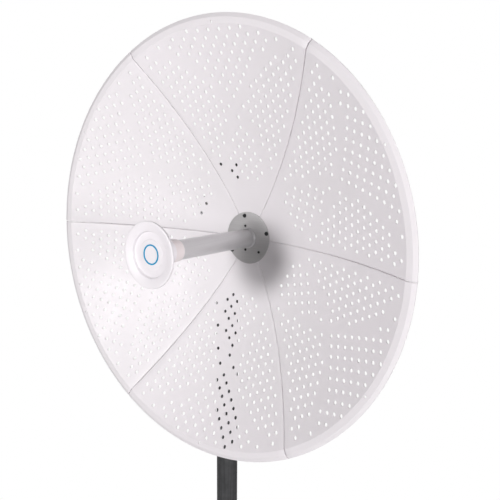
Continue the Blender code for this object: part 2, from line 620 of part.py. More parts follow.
# ---------------------------------------------------------------- feed
def build_feed():
    """Everything that turns about the boresight: tube, collar, stepped cover, reflector and ports."""
    bore = TUBE_RADIUS - TUBE_WALL
    tail = -0.0116
    tube = [(TUBE_RADIUS, TUBE_END), (TUBE_RADIUS, tail), (bore, tail), (bore, TUBE_END)]
    turned("feed_tube", tube, "aluminium", feed_axis, ring=True)
    sleeve = TUBE_RADIUS + GAP
    collar_end = COVER_START - GAP
    collar = [(0.0228, collar_end), (0.0232, collar_end - 0.002), (0.0228, collar_end - 0.012),
              (0.0216, COLLAR_START + 0.001), (0.0212, COLLAR_START), (sleeve, COLLAR_START), (sleeve, collar_end)]
    turned("feed_collar", collar, "white_plastic", feed_axis, ring=True)
    plug = bore - GAP
    turned("dielectric_plug", [(0, 0.284), (0.009, 0.280), (plug, 0.268), (plug, 0.245), (0, 0.233)],
           "dielectric", feed_axis, sides=24)
    flange = DISC_SPLIT - GAP
    rear = [(0.0600, flange), (DISC_RADIUS, flange), (DISC_RADIUS, flange - 0.0010), (0.0600, flange - 0.0028),
            (0.0480, flange - 0.0098), (0.0360, flange - 0.0178), (0.0275, flange - 0.0278), (0.0246, flange - 0.0400),
            (0.0246, COVER_START), (sleeve, COVER_START), (sleeve, 0.2645), (0.0227, 0.2665),
            (0.0227, flange - 0.0400), (0.0255, flange - 0.0270), (0.0338, flange - 0.0168),
            (0.0462, flange - 0.0084), (0.0585, flange - 0.0012)]
    turned("feed_cover_rear", rear, "white_plastic", feed_axis, ring=True, sides=36)
    floor = DISC_FACE - 0.0026
    front = [(0, DISC_FACE), (0.0285, DISC_FACE), (0.0292, DISC_FACE - 0.001), (0.0430, DISC_FACE - 0.001),
             (0.0452, DISC_FACE + 0.0040), (0.0600, DISC_EDGE - 0.0004), (0.0625, DISC_EDGE),
             (DISC_RADIUS, DISC_EDGE - 0.0016), (DISC_RADIUS, DISC_SPLIT), (0.0590, DISC_SPLIT),
             (0.0462, DISC_FACE + 0.0014),
             (0.0440, floor), (0, floor)]
    turned("feed_cover_front", front, "white_plastic", feed_axis, sides=36)
    mirror = [(0, 0.3024), (0.0425, 0.3024), (0.0425, 0.3004), (0.0200, 0.3004), (0, 0.2870)]
    turned("subreflector", mirror, "aluminium", feed_axis)
    badge = [(0.0196, DISC_FACE + GAP + 0.0006), (0.0196, DISC_FACE + GAP),
             (0.0168, DISC_FACE + GAP), (0.0168, DISC_FACE + GAP + 0.0006)]
    turned("feed_ring", badge, "blue_print", feed_axis, ring=True)
    build_ports(tail)


def build_ports(tail):
    """Waveguide-to-coax block behind the hub, with its two coaxial ports."""
    half, front, back = 0.022, tail - 0.0004, -0.058
    corner = 0.004
    square = [(half, -half + corner), (half, half - corner), (half - corner, half), (-half + corner, half),
              (-half, half - corner), (-half, -half + corner), (-half + corner, -half), (half - corner, -half)]
    block = place("waveguide_block", outline_mesh("waveguide_block", square, front - back), "aluminium",
                  feed_axis, (0, 0, (front + back) / 2))
    neck = TUBE_RADIUS - TUBE_WALL - GAP
    boolean(block, cylinder_cutter("block_neck", neck, 0.02, feed_axis, (0, 0, front), sides=24), "UNION")
    barrel = [(0, 0.020), (0.0070, 0.020), (0.0076, 0.019), (0.0076, 0.003), (0.0108, 0.003), (0.0108, 0), (0, 0)]
    for number, side in ((1, -1), (2, 1)):
        turned(f"radio_port_{number}", barrel, "brass", feed_axis, sides=20,
               location=(side * 0.0112, 0, back - GAP), rotation=(math.pi, 0, 0))


build_mast()
build_clamps()
build_pole_bracket()
build_pivot_bolts()
build_rod()
build_petals()
build_hub()
build_elevation_bracket()
build_feed()
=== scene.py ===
"""The finished looks of a six-petal perforated dish on a pole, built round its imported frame.

Metres, +Z up, in the frame's own axes. A size that the frame already holds is measured from it.
"""

from __future__ import annotations

import json
import logging
import math
from dataclasses import dataclass, field
from enum import Enum
from functools import cache
from typing import Any, Iterable, Sequence

import bmesh
import bpy
import numpy as np
from mathutils import Euler, Matrix, Vector

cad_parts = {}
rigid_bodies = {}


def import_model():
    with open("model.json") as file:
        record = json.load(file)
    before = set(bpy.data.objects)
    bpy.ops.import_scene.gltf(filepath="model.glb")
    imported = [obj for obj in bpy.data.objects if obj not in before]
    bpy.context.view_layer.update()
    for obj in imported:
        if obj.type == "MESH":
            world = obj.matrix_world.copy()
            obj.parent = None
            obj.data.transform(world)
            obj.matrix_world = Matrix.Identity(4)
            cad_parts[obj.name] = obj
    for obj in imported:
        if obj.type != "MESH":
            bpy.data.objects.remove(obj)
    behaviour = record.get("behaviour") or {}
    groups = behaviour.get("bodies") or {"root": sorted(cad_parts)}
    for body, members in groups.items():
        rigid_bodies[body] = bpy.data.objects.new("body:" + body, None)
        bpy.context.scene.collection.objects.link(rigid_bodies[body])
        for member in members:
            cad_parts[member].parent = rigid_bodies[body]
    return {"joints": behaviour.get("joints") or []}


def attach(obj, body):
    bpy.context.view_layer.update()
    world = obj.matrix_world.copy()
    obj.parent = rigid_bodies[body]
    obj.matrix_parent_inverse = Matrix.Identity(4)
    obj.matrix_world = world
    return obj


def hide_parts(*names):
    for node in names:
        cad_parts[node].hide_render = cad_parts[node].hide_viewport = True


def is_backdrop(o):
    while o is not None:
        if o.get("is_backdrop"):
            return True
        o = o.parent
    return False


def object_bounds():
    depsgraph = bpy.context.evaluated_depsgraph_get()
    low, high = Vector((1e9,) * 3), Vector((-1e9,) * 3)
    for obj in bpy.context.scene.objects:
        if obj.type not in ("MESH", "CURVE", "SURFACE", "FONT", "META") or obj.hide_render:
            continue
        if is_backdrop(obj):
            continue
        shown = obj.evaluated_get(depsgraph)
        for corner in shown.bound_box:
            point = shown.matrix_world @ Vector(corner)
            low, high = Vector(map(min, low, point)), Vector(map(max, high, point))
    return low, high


LOG = logging.getLogger("petal_dish")
TURN = 2 * math.pi
HALF_TURN = Euler((math.pi, 0, 0)).to_matrix().to_4x4()
Colour = tuple[float, float, float]
Profile = Sequence[tuple[float, ...]]


class Body(str, Enum):
    """The bodies that pieces ride on."""

    MAST = "mast"
    POLE_MOUNT = "pole_mount"
    DISH = "dish"
    TILT_ROD = "tilt_rod"
    TILT_SWIVEL = "tilt_swivel"
    FEED = "feed"


class Slot(str, Enum):
    """The record's material slots."""

    WHITE_PAINT = "white_paint"
    GALVANISED = "galvanised"
    ZINC = "zinc"
    DARK_BOLT = "dark_bolt"
    ALUMINIUM = "aluminium"
    WHITE_PLASTIC = "white_plastic"
    BLUE_PRINT = "blue_print"
    BLACK_PLASTIC = "black_plastic"
    DIELECTRIC = "dielectric"
    BRASS = "brass"


# ---------------------------------------------------------------- node trees
class Graph:
    """A node tree under construction."""

    def __init__(self, tree: bpy.types.NodeTree) -> None:
        """Keeps the tree that nodes are added to."""
        self.tree = tree

    def feed(self, socket: bpy.types.NodeSocket, value: Any) -> None:
        """Links a socket into another, or sets its constant.

        Args:
            socket: The input that is fed.
            value: An output socket, or a plain value.
        """
        if isinstance(value, bpy.types.NodeSocket):
            self.tree.links.new(value, socket)
        else:
            socket.default_value = value

    def node(self, kind: str, inputs: dict[Any, Any] | None = None, **settings: Any) -> bpy.types.Node:
        """Adds a node.

        Args:
            kind: The node's type name.
            inputs: Values or sockets for its inputs, by name or place.
            settings: Properties of the node itself.

        Returns:
            The new node.
        """
        made = self.tree.nodes.new(kind)
        for name, value in settings.items():
            setattr(made, name, value)
        for key, value in (inputs or {}).items():
            self.feed(made.inputs[key], value)
        return made

    def math(self, operation: str, *values: Any) -> bpy.types.NodeSocket:
        """Adds a maths node and returns its result."""
        return self.node("ShaderNodeMath", dict(enumerate(values)), operation=operation).outputs[0]

    def plus(self, first: Any, second: Any) -> bpy.types.NodeSocket:
        """Adds two numbers."""
        return self.math("ADD", first, second)

    def minus(self, first: Any, second: Any) -> bpy.types.NodeSocket:
        """Takes the second number from the first."""
        return self.math("SUBTRACT", first, second)

    def times(self, first: Any, second: Any) -> bpy.types.NodeSocket:
        """Multiplies two numbers."""
        return self.math("MULTIPLY", first, second)

    def over(self, first: Any, second: Any) -> bpy.types.NodeSocket:
        """Divides the first number by the second."""
        return self.math("DIVIDE", first, second)

    def ramp(self, value: Any, start: Any, end: Any, low: Any, high: Any) -> bpy.types.NodeSocket:
        """A clamped straight ramp.

        Args:
            value: What is read.
            start: Where the ramp starts.
            end: Where it ends.
            low: The result up to the start.
            high: The result from the end on.

        Returns:
            The result socket.
        """
        inputs = {0: value, 1: start, 2: end, 3: low, 4: high}
        return self.node("ShaderNodeMapRange", inputs, clamp=True).outputs[0]

    def split(self, vector: Any) -> list[bpy.types.NodeSocket]:
        """The three parts of a vector."""
        return list(self.node("ShaderNodeSeparateXYZ", {0: vector}).outputs)

    def join(self, x: Any, y: Any, z: Any) -> bpy.types.NodeSocket:
        """A vector of three parts."""
        return self.node("ShaderNodeCombineXYZ", {0: x, 1: y, 2: z}).outputs[0]

    def blend(self, factor: Any, first: Any, second: Any) -> bpy.types.NodeSocket:
        """Mixes two colours and returns the colour."""
        made = self.node("ShaderNodeMix", data_type="RGBA")
        for index, value in ((0, factor), (6, first), (7, second)):
            self.feed(made.inputs[index], value)
        return made.outputs[2]


class GroupGraph(Graph):
    """A node group with named inputs and outputs."""

    def __init__(self, name: str, kind: str) -> None:
        """Makes an empty group of a kind, such as ShaderNodeTree."""
        super().__init__(bpy.data.node_groups.new(name, kind))
        self.entry = self.tree.nodes.new("NodeGroupInput")
        self.exit = self.tree.nodes.new("NodeGroupOutput")

    def option(self, name: str, kind: str) -> bpy.types.NodeSocket:
        """Adds a named input and returns the socket to read it from."""
        self.tree.interface.new_socket(name, in_out="INPUT", socket_type="NodeSocket" + kind)
        return self.entry.outputs[name]

    def result(self, name: str, kind: str, value: bpy.types.NodeSocket) -> None:
        """Adds a named output, fed from a socket."""
        self.tree.interface.new_socket(name, in_out="OUTPUT", socket_type="NodeSocket" + kind)
        self.tree.links.new(value, self.exit.inputs[name])


# ---------------------------------------------------------------- shared effects
@cache
def mottle_effect() -> bpy.types.NodeTree:
    """Soft cloudy change between two values."""
    graph = GroupGraph("mottle", "ShaderNodeTree")
    vector = graph.option("Vector", "Vector")
    scale = graph.option("Scale", "Float")
    low = graph.option("Low", "Float")
    high = graph.option("High", "Float")
    clouds = graph.node("ShaderNodeTexNoise", {"Vector": vector, "Scale": scale, "Detail": 3.0})
    graph.result("Value", "Float", graph.ramp(clouds.outputs[0], 0.32, 0.68, low, high))
    return graph.tree


@cache
def grain_effect() -> bpy.types.NodeTree:
    """Fine grain as a height, for a bump."""
    graph = GroupGraph("grain", "ShaderNodeTree")
    vector = graph.option("Vector", "Vector")
    scale = graph.option("Scale", "Float")
    fine = graph.node("ShaderNodeTexNoise", {"Vector": vector, "Scale": scale, "Detail": 2.0})
    coarse_scale = graph.times(scale, 0.22)
    coarse = graph.node("ShaderNodeTexNoise", {"Vector": vector, "Scale": coarse_scale, "Detail": 1.0})
    half = graph.times(coarse.outputs[0], 0.6)
    graph.result("Height", "Float", graph.plus(fine.outputs[0], half))
    return graph.tree


@cache
def drawn_effect() -> bpy.types.NodeTree:
    """Long fine lines, left by drawing, turning or brushing."""
    graph = GroupGraph("drawn_lines", "ShaderNodeTree")
    vector = graph.option("Vector", "Vector")
    stretch = graph.option("Stretch", "Vector")
    scaled = graph.node("ShaderNodeVectorMath", {0: vector, 1: stretch}, operation="MULTIPLY").outputs[0]
    lines = graph.node("ShaderNodeTexNoise", {"Vector": scaled, "Scale": 1.0, "Detail": 4.0})
    graph.result("Lines", "Float", graph.ramp(lines.outputs[0], 0.3, 0.7, 0.0, 1.0))
    return graph.tree


@cache
def spangle_effect() -> bpy.types.NodeTree:
    """The crystal patches of a hot-dip zinc coat."""
    graph = GroupGraph("spangle", "ShaderNodeTree")
    vector = graph.option("Vector", "Vector")
    scale = graph.option("Scale", "Float")
    warp = graph.node("ShaderNodeTexNoise", {"Vector": vector, "Scale": 60.0, "Detail": 2.0})
    offset = graph.node("ShaderNodeVectorMath", {0: warp.outputs["Color"], "Scale": 0.006}, operation="SCALE")
    moved = graph.node("ShaderNodeVectorMath", {0: vector, 1: offset.outputs[0]}, operation="ADD").outputs[0]
    cells = graph.node("ShaderNodeTexVoronoi", {"Vector": moved, "Scale": scale})
    tone = graph.split(cells.outputs["Color"])[0]
    graph.result("Tone", "Float", tone)
    return graph.tree


@cache
def grime_effect() -> bpy.types.NodeTree:
    """Dust that settles on upward faces, broken up by noise."""
    graph = GroupGraph("grime", "ShaderNodeTree")
    vector = graph.option("Vector", "Vector")
    amount = graph.option("Amount", "Float")
    normal = graph.node("ShaderNodeNewGeometry").outputs["Normal"]
    upward = graph.ramp(graph.split(normal)[2], 0.35, 1.0, 0.0, 1.0)
    patches = graph.node("ShaderNodeTexNoise", {"Vector": vector, "Scale": 38.0, "Detail": 5.0})
    broken = graph.ramp(patches.outputs[0], 0.4, 0.66, 0.0, 1.0)
    mask = graph.times(graph.times(upward, broken), amount)
    graph.result("Mask", "Float", mask)
    return graph.tree


@cache
def streak_effect() -> bpy.types.NodeTree:
    """Rain streaks that run down a standing face."""
    graph = GroupGraph("streaks", "ShaderNodeTree")
    vector = graph.option("Vector", "Vector")
    across = graph.option("Across", "Float")
    down = graph.option("Down", "Float")
    x, y, z = graph.split(vector)
    narrow = graph.join(graph.times(x, across), graph.times(y, across),
                        graph.times(z, down))
    runs = graph.node("ShaderNodeTexNoise", {"Vector": narrow, "Scale": 1.0, "Detail": 4.0})
    graph.result("Mask", "Float", graph.ramp(runs.outputs[0], 0.42, 0.7, 0.0, 1.0))
    return graph.tree


# ---------------------------------------------------------------- finishes
@dataclass(frozen=True)
class Finish:
    """What every finish has: two close colours, a span of roughness and a bump."""

    name: str
    colour: Colour
    second: Colour
    roughness: tuple[float, float] = (0.4, 0.5)
    metallic: float = 0.0
    mottle_scale: float = 6.0
    grain_scale: float = 900.0
    bump: float = 0.1
    specular: float = 0.5
    coat: float = 0.0

    def begin(self) -> tuple[bpy.types.Material, Graph, bpy.types.Node, bpy.types.NodeSocket]:
        """Starts the material.

        Returns:
            The material, its graph, its shader and the object coordinates.
        """
        material = bpy.data.materials.new(self.name)
        material.use_nodes = True
        graph = Graph(material.node_tree)
        shader = material.node_tree.nodes["Principled BSDF"]
        shader.inputs["Metallic"].default_value = self.metallic
        shader.inputs["Specular IOR Level"].default_value = self.specular
        shader.inputs["Coat Weight"].default_value = self.coat
        material.diffuse_color = (*self.colour, 1.0)
        place = graph.node("ShaderNodeTexCoord").outputs["Object"]
        return material, graph, shader, place

    @staticmethod
    def effect(graph: Graph, tree: bpy.types.NodeTree, inputs: dict[str, Any]) -> bpy.types.NodeSocket:
        """Places a shared effect, feeds it and returns its output."""
        made = graph.node("ShaderNodeGroup", node_tree=tree)
        for name, value in inputs.items():
            graph.feed(made.inputs[name], value)
        return made.outputs[0]

    def tint(self, graph: Graph, place: bpy.types.NodeSocket) -> bpy.types.NodeSocket:
        """The base colour before any dirt."""
        factor = self.effect(graph, mottle_effect(),
                             {"Vector": place, "Scale": self.mottle_scale, "Low": 0.0, "High": 1.0})
        return graph.blend(factor, (*self.colour, 1.0), (*self.second, 1.0))

    def polish(self, graph: Graph, place: bpy.types.NodeSocket) -> bpy.types.NodeSocket:
        """The roughness over the surface."""
        low, high = self.roughness
        return self.effect(graph, mottle_effect(),
                           {"Vector": place, "Scale": self.mottle_scale * 5, "Low": low, "High": high})

    def relief(self, graph: Graph, place: bpy.types.NodeSocket) -> bpy.types.NodeSocket:
        """The height that the bump reads."""
        return self.effect(graph, grain_effect(), {"Vector": place, "Scale": self.grain_scale})

    def material(self) -> bpy.types.Material:
        """Builds the material."""
        material, graph, shader, place = self.begin()
        graph.feed(shader.inputs["Base Color"], self.tint(graph, place))
        graph.feed(shader.inputs["Roughness"], self.polish(graph, place))
        bump = graph.node("ShaderNodeBump", {"Strength": self.bump, "Distance": 0.0002,
                                             "Height": self.relief(graph, place)})
        graph.feed(shader.inputs["Normal"], bump.outputs[0])
        return material


@dataclass(frozen=True)
class Weathered(Finish):
    """A finish with dust on its upward faces."""

    dirt: Colour = (0.30, 0.28, 0.25)
    amount: float = 0.2

    def tint(self, graph: Graph, place: bpy.types.NodeSocket) -> bpy.types.NodeSocket:
        """The clean colour under a thin layer of dust."""
        clean = super().tint(graph, place)
        mask = self.effect(graph, grime_effect(), {"Vector": place, "Amount": self.amount})
        return graph.blend(mask, clean, (*self.dirt, 1.0))


@dataclass(frozen=True)
class ZincCoat(Weathered):
    """Galvanised steel: spangle in its tone and its gloss."""

    spangle_scale: float = 160.0
    contrast: float = 0.5

    def spangle(self, graph: Graph, place: bpy.types.NodeSocket) -> bpy.types.NodeSocket:
        """The tone of each crystal."""
        return self.effect(graph, spangle_effect(), {"Vector": place, "Scale": self.spangle_scale})

    def tint(self, graph: Graph, place: bpy.types.NodeSocket) -> bpy.types.NodeSocket:
        """Dusty zinc, lighter and darker from crystal to crystal."""
        base = super().tint(graph, place)
        factor = graph.times(self.spangle(graph, place), self.contrast)
        return graph.blend(factor, base, (*self.second, 1.0))

    def polish(self, graph: Graph, place: bpy.types.NodeSocket) -> bpy.types.NodeSocket:
        """Each crystal shines a little differently."""
        low, high = self.roughness
        return graph.ramp(self.spangle(graph, place), 0.0, 1.0, low, high)


@dataclass(frozen=True)
class DrawnMetal(Finish):
    """Metal with long fine lines along one direction."""

    stretch: tuple[float, float, float] = (900.0, 20.0, 900.0)

    def lines(self, graph: Graph, place: bpy.types.NodeSocket) -> bpy.types.NodeSocket:
        """The lines as a mask."""
        return self.effect(graph, drawn_effect(), {"Vector": place, "Stretch": self.stretch})

    def tint(self, graph: Graph, place: bpy.types.NodeSocket) -> bpy.types.NodeSocket:
        """Two close tones from line to line."""
        return graph.blend(self.lines(graph, place), (*self.colour, 1.0), (*self.second, 1.0))

    def polish(self, graph: Graph, place: bpy.types.NodeSocket) -> bpy.types.NodeSocket:
        """The gloss changes with the lines."""
        low, high = self.roughness
        return graph.ramp(self.lines(graph, place), 0.0, 1.0, low, high)

    def relief(self, graph: Graph, place: bpy.types.NodeSocket) -> bpy.types.NodeSocket:
        """The lines stand in the relief too."""
        return self.lines(graph, place)


@dataclass(frozen=True)
class StreakedPole(Weathered):
    """A standing tube that rain has streaked."""

    streak: Colour = (0.03, 0.03, 0.03)

    def tint(self, graph: Graph, place: bpy.types.NodeSocket) -> bpy.types.NodeSocket:
        """Weathered zinc with darker runs."""
        base = super().tint(graph, place)
        runs = self.effect(graph, streak_effect(), {"Vector": place, "Across": 160.0, "Down": 5.0})
        return graph.blend(graph.times(runs, 0.7), base, (*self.streak, 1.0))


class Surface(Enum):
    """The finishes of this object."""

    POWDER_COAT = Weathered("powder_coat", (0.83, 0.785, 0.815), (0.80, 0.765, 0.785), (0.42, 0.5),
                            mottle_scale=3.0, grain_scale=1500.0, bump=0.12, specular=0.45, amount=0.02)
    HUB_ALUMINIUM = DrawnMetal("hub_aluminium", (0.47, 0.455, 0.46), (0.52, 0.505, 0.51), (0.36, 0.46),
                               metallic=0.35, stretch=(30.0, 30.0, 900.0), bump=0.05)
    TUBE_ALUMINIUM = DrawnMetal("tube_aluminium", (0.62, 0.61, 0.62), (0.66, 0.65, 0.66), (0.30, 0.38),
                                metallic=0.62, stretch=(500.0, 6.0, 500.0), bump=0.02)
    CAST_ALUMINIUM = Finish("cast_aluminium", (0.52, 0.52, 0.53), (0.60, 0.60, 0.61), (0.38, 0.52),
                            metallic=0.85, mottle_scale=40.0, grain_scale=1200.0, bump=0.3)
    MAST_STEEL = StreakedPole("mast_steel", (0.115, 0.115, 0.12), (0.075, 0.075, 0.078), (0.5, 0.68),
                              metallic=0.55, mottle_scale=18.0, grain_scale=700.0, bump=0.35, amount=0.3)
    GALVANISED_PLATE = ZincCoat("galvanised_plate", (0.50, 0.51, 0.52), (0.62, 0.63, 0.64), (0.34, 0.56),
                                metallic=0.85, mottle_scale=20.0, bump=0.12, amount=0.18)
    ZINC_PLATED = Weathered("zinc_plated", (0.62, 0.62, 0.60), (0.70, 0.69, 0.64), (0.24, 0.38),
                            metallic=0.92, mottle_scale=60.0, bump=0.08, amount=0.12)
    BLACK_OXIDE = Weathered("black_oxide", (0.022, 0.022, 0.023), (0.04, 0.04, 0.04), (0.36, 0.5),
                            metallic=0.6, mottle_scale=80.0, bump=0.1, amount=0.08)
    MOULDED_WHITE = Weathered("moulded_white", (0.86, 0.815, 0.85), (0.84, 0.80, 0.83), (0.36, 0.44),
                              mottle_scale=10.0, grain_scale=1800.0, bump=0.06, amount=0.015)
    COLLAR_WHITE = Weathered("collar_white", (0.84, 0.76, 0.765), (0.81, 0.735, 0.74), (0.4, 0.5),
                             mottle_scale=14.0, grain_scale=1800.0, bump=0.06, amount=0.01)
    BLUE_INK = Finish("blue_ink", (0.0, 0.27, 0.50), (0.0, 0.295, 0.53), (0.45, 0.55), mottle_scale=60.0,
                      bump=0.03, specular=0.12)
    BLACK_NYLON = Weathered("black_nylon", (0.03, 0.03, 0.031), (0.045, 0.045, 0.045), (0.48, 0.62),
                            mottle_scale=40.0, bump=0.25, amount=0.15)
    FLUOROPOLYMER = Finish("fluoropolymer", (0.86, 0.86, 0.84), (0.82, 0.82, 0.80), (0.42, 0.52),
                           mottle_scale=30.0)
    NICKEL = Finish("nickel", (0.72, 0.69, 0.60), (0.78, 0.75, 0.67), (0.18, 0.3), metallic=0.95,
                    mottle_scale=90.0, bump=0.04)

    @cache
    def material(self) -> bpy.types.Material:
        """The one material of this finish."""
        return self.value.material()


# ---------------------------------------------------------------- frame datums
@dataclass(frozen=True)
class Span:
    """How far a node reaches along and around an axis."""

    low: float
    high: float
    inner: float
    outer: float


@dataclass(frozen=True)
class Datum:
    """A local frame: its Z is the axis that parts are turned about."""

    matrix: Matrix

    def points(self, node: str) -> np.ndarray:
        """A node's vertices in this frame."""
        mesh = bpy.data.objects[node].data
        found = np.empty(len(mesh.vertices) * 3, np.float32)
        mesh.vertices.foreach_get("co", found)
        world = np.column_stack((found.reshape(-1, 3), np.ones(len(mesh.vertices))))
        return (world @ np.array(self.matrix.inverted()).T)[:, :3]

    def span(self, node: str) -> Span:
        """A node's reach along the axis and its radii about it."""
        local = self.points(node)
        radii = np.hypot(local[:, 0], local[:, 1])
        return Span(float(local[:, 2].min()), float(local[:, 2].max()), float(radii.min()),
                    float(radii.max()))

    def centred_on(self, node: str) -> Datum:
        """This frame moved sideways so that its axis runs through a node's middle."""
        local = self.points(node)
        low, high = local.min(0), local.max(0)
        middle = Vector(((low[0] + high[0]) / 2, (low[1] + high[1]) / 2, 0))
        return Datum(self.matrix @ Matrix.Translation(middle))


def along(point: Vector, direction: Vector) -> Datum:
    """A frame at a point whose Z looks in a direction.

    Args:
        point: The frame's origin.
        direction: Where its Z points.

    Returns:
        The datum.
    """
    turn = direction.to_track_quat("Z", "Y").to_matrix().to_4x4()
    return Datum(Matrix.Translation(point) @ turn)


# ---------------------------------------------------------------- mesh work
def solid(shape: bmesh.types.BMesh, name: str, crease: float = 32.0) -> bpy.types.Mesh:
    """Closes a bmesh into a smooth-shaded mesh with sharp creases.

    Args:
        shape: The shape, which is freed.
        name: The mesh's name.
        crease: The angle, in degrees, above which an edge is sharp.

    Returns:
        The mesh.
    """
    bmesh.ops.recalc_face_normals(shape, faces=shape.faces)
    mesh = bpy.data.meshes.new(name)
    shape.to_mesh(mesh)
    shape.free()
    mesh.shade_smooth()
    mesh.set_sharp_from_angle(angle=math.radians(crease))
    return mesh


def rounded(profile: Profile, steps: int = 4) -> list[tuple[float, float]]:
    """Rounds the corners of a closed or open outline.

    Args:
        profile: Points (radius, height) or (radius, height, corner radius).
        steps: How many stretches each rounded corner has.

    Returns:
        Plain (radius, height) points.
    """
    points: list[tuple[float, float]] = []
    for index, corner in enumerate(profile):
        here = Vector(corner[:2])
        if len(corner) < 3 or corner[2] <= 0:
            points.append(tuple(here))
            continue
        before = Vector(profile[index - 1][:2]) - here
        after = Vector(profile[(index + 1) % len(profile)][:2]) - here
        reach = min(corner[2], before.length * 0.45, after.length * 0.45)
        start, end = here + before.normalized() * reach, here + after.normalized() * reach
        for step in range(steps + 1):
            share = step / steps
            spot = start * (1 - share) ** 2 + here * 2 * share * (1 - share) + end * share**2
            points.append(tuple(spot))
    return points


def ring_points(radii: Sequence[float], heights: Sequence[float]) -> list[tuple[float, float, float]]:
    """Points round an axis, one radius and height each."""
    count = len(radii)
    angles = [TURN * step / count for step in range(count)]
    return [(r * math.cos(a), r * math.sin(a), h) for r, a, h in zip(radii, angles, heights)]


def lofted(name: str, rings: Sequence[Sequence[tuple[float, float, float]]], looped: bool = False,
           crease: float = 32.0) -> bpy.types.Mesh:
    """Skins rings of equal count, capped at both ends unless the last joins the first.

    Args:
        name: The mesh's name.
        rings: The rings, in order.
        looped: Whether the last ring joins the first.
        crease: The angle above which an edge is sharp, in degrees.

    Returns:
        The mesh.
    """
    shape = bmesh.new()
    loops = [[shape.verts.new(point) for point in ring] for ring in rings]
    followers = loops[1:] + loops[:1] if looped else loops[1:]
    for upper, lower in zip(loops, followers):
        for here, vert in enumerate(upper):
            after = (here + 1) % len(upper)
            shape.faces.new((vert, lower[here], lower[after], upper[after]))
    if not looped:
        shape.faces.new(loops[0])
        shape.faces.new(list(reversed(loops[-1])))
    return solid(shape, name, crease)


def turned(name: str, profile: Profile, sides: int = 96, crease: float = 32.0) -> bpy.types.Mesh:
    """Turns an outline about Z; an outline that starts and ends on the axis is closed there.

    Args:
        name: The mesh's name.
        profile: Points (radius, height) or (radius, height, corner radius).
        sides: How many facets go round.
        crease: The angle above which an edge is sharp, in degrees.

    Returns:
        The mesh.
    """
    outline = rounded(profile)
    touches_axis = outline[0][0] == 0.0 and outline[-1][0] == 0.0
    if not touches_axis:
        rings = [ring_points([radius] * sides, [height] * sides) for radius, height in outline]
        return lofted(name, rings, True, crease)
    shape = bmesh.new()
    poles = [shape.verts.new((0, 0, outline[0][1])), shape.verts.new((0, 0, outline[-1][1]))]
    loops = [[shape.verts.new(point) for point in ring_points([radius] * sides, [height] * sides)]
             for radius, height in outline[1:-1]]
    for here in range(sides):
        after = (here + 1) % sides
        shape.faces.new((poles[0], loops[0][here], loops[0][after]))
        shape.faces.new((poles[1], loops[-1][after], loops[-1][here]))
        for upper, lower in zip(loops, loops[1:]):
            shape.faces.new((upper[here], lower[here], lower[after], upper[after]))
    return solid(shape, name, crease)


def merged(name: str, meshes: Iterable[tuple[bpy.types.Mesh, Matrix]]) -> bpy.types.Mesh:
    """Joins meshes, each moved by its matrix, into one.

    Args:
        name: The new mesh's name.
        meshes: Pairs of a mesh and where it goes.

    Returns:
        The joined mesh.
    """
    shape = bmesh.new()
    for mesh, matrix in meshes:
        part = mesh.copy()
        part.transform(matrix)
        shape.from_mesh(part)
        bpy.data.meshes.remove(part)
    joined = bpy.data.meshes.new(name)
    shape.to_mesh(joined)
    shape.free()
    return joined


def evaluated(piece: bpy.types.Object, name: str) -> bpy.types.Mesh:
    """The mesh that an object's modifiers make, as plain data."""
    depsgraph = bpy.context.evaluated_depsgraph_get()
    mesh = bpy.data.meshes.new_from_object(piece.evaluated_get(depsgraph), depsgraph=depsgraph)
    mesh.name = name
    return mesh


def linked(name: str, data: bpy.types.ID) -> bpy.types.Object:
    """A new object in the scene's own collection."""
    made = bpy.data.objects.new(name, data)
    bpy.context.scene.collection.objects.link(made)
    return made


def grown(name: str, tree: bpy.types.NodeTree, values: dict[str, Any]) -> bpy.types.Mesh:
    """Runs a geometry tree once and keeps the plain mesh that it makes.

    Args:
        name: The mesh's name.
        tree: The geometry node tree.
        values: Its inputs, by name.

    Returns:
        The mesh, with no modifier left.
    """
    host = linked(name + "_host", bpy.data.meshes.new(name + "_host"))
    modifier = host.modifiers.new("shape", "NODES")
    modifier.node_group = tree
    for item in tree.interface.items_tree:
        if item.in_out == "INPUT" and item.name in values:
            modifier[item.identifier] = values[item.name]
    mesh = evaluated(host, name)
    bpy.data.objects.remove(host)
    return mesh


def softened(node: str, width: float = 0.0005) -> bpy.types.Mesh:
    """A copy of a frame node with its flat faces joined up and its edges eased.

    Args:
        node: The frame node.
        width: The width of the eased edge.

    Returns:
        The mesh.
    """
    shape = bmesh.new()
    shape.from_mesh(bpy.data.objects[node].data)
    bmesh.ops.remove_doubles(shape, verts=shape.verts, dist=0.00002)
    bmesh.ops.dissolve_limit(shape, angle_limit=math.radians(0.8), verts=shape.verts, edges=shape.edges)
    mesh = bpy.data.meshes.new(node + "_plain")
    shape.to_mesh(mesh)
    shape.free()
    host = linked(node + "_host", mesh)
    bevel = host.modifiers.new("ease", "BEVEL")
    bevel.width = width
    bevel.segments = 2
    bevel.limit_method = "ANGLE"
    bevel.angle_limit = math.radians(40)
    soft = evaluated(host, node + "_soft")
    bpy.data.objects.remove(host)
    soft.shade_smooth()
    soft.set_sharp_from_angle(angle=math.radians(38))
    return soft


def bored(mesh: bpy.types.Mesh, cutters: Iterable[tuple[bpy.types.Mesh, Matrix]]) -> bpy.types.Mesh:
    """Cuts holes through a mesh.

    Args:
        mesh: What is cut.
        cutters: Pairs of a closed mesh and where it goes.

    Returns:
        The cut mesh.
    """
    host = linked("bored_host", mesh)
    tool = linked("bored_tool", merged("bored_tool", cutters))
    cut = host.modifiers.new("cut", "BOOLEAN")
    cut.operation = "DIFFERENCE"
    cut.solver = "EXACT"
    cut.object = tool
    result = evaluated(host, mesh.name)
    for helper in (host, tool):
        bpy.data.objects.remove(helper)
    result.shade_smooth()
    result.set_sharp_from_angle(angle=math.radians(32))
    return result


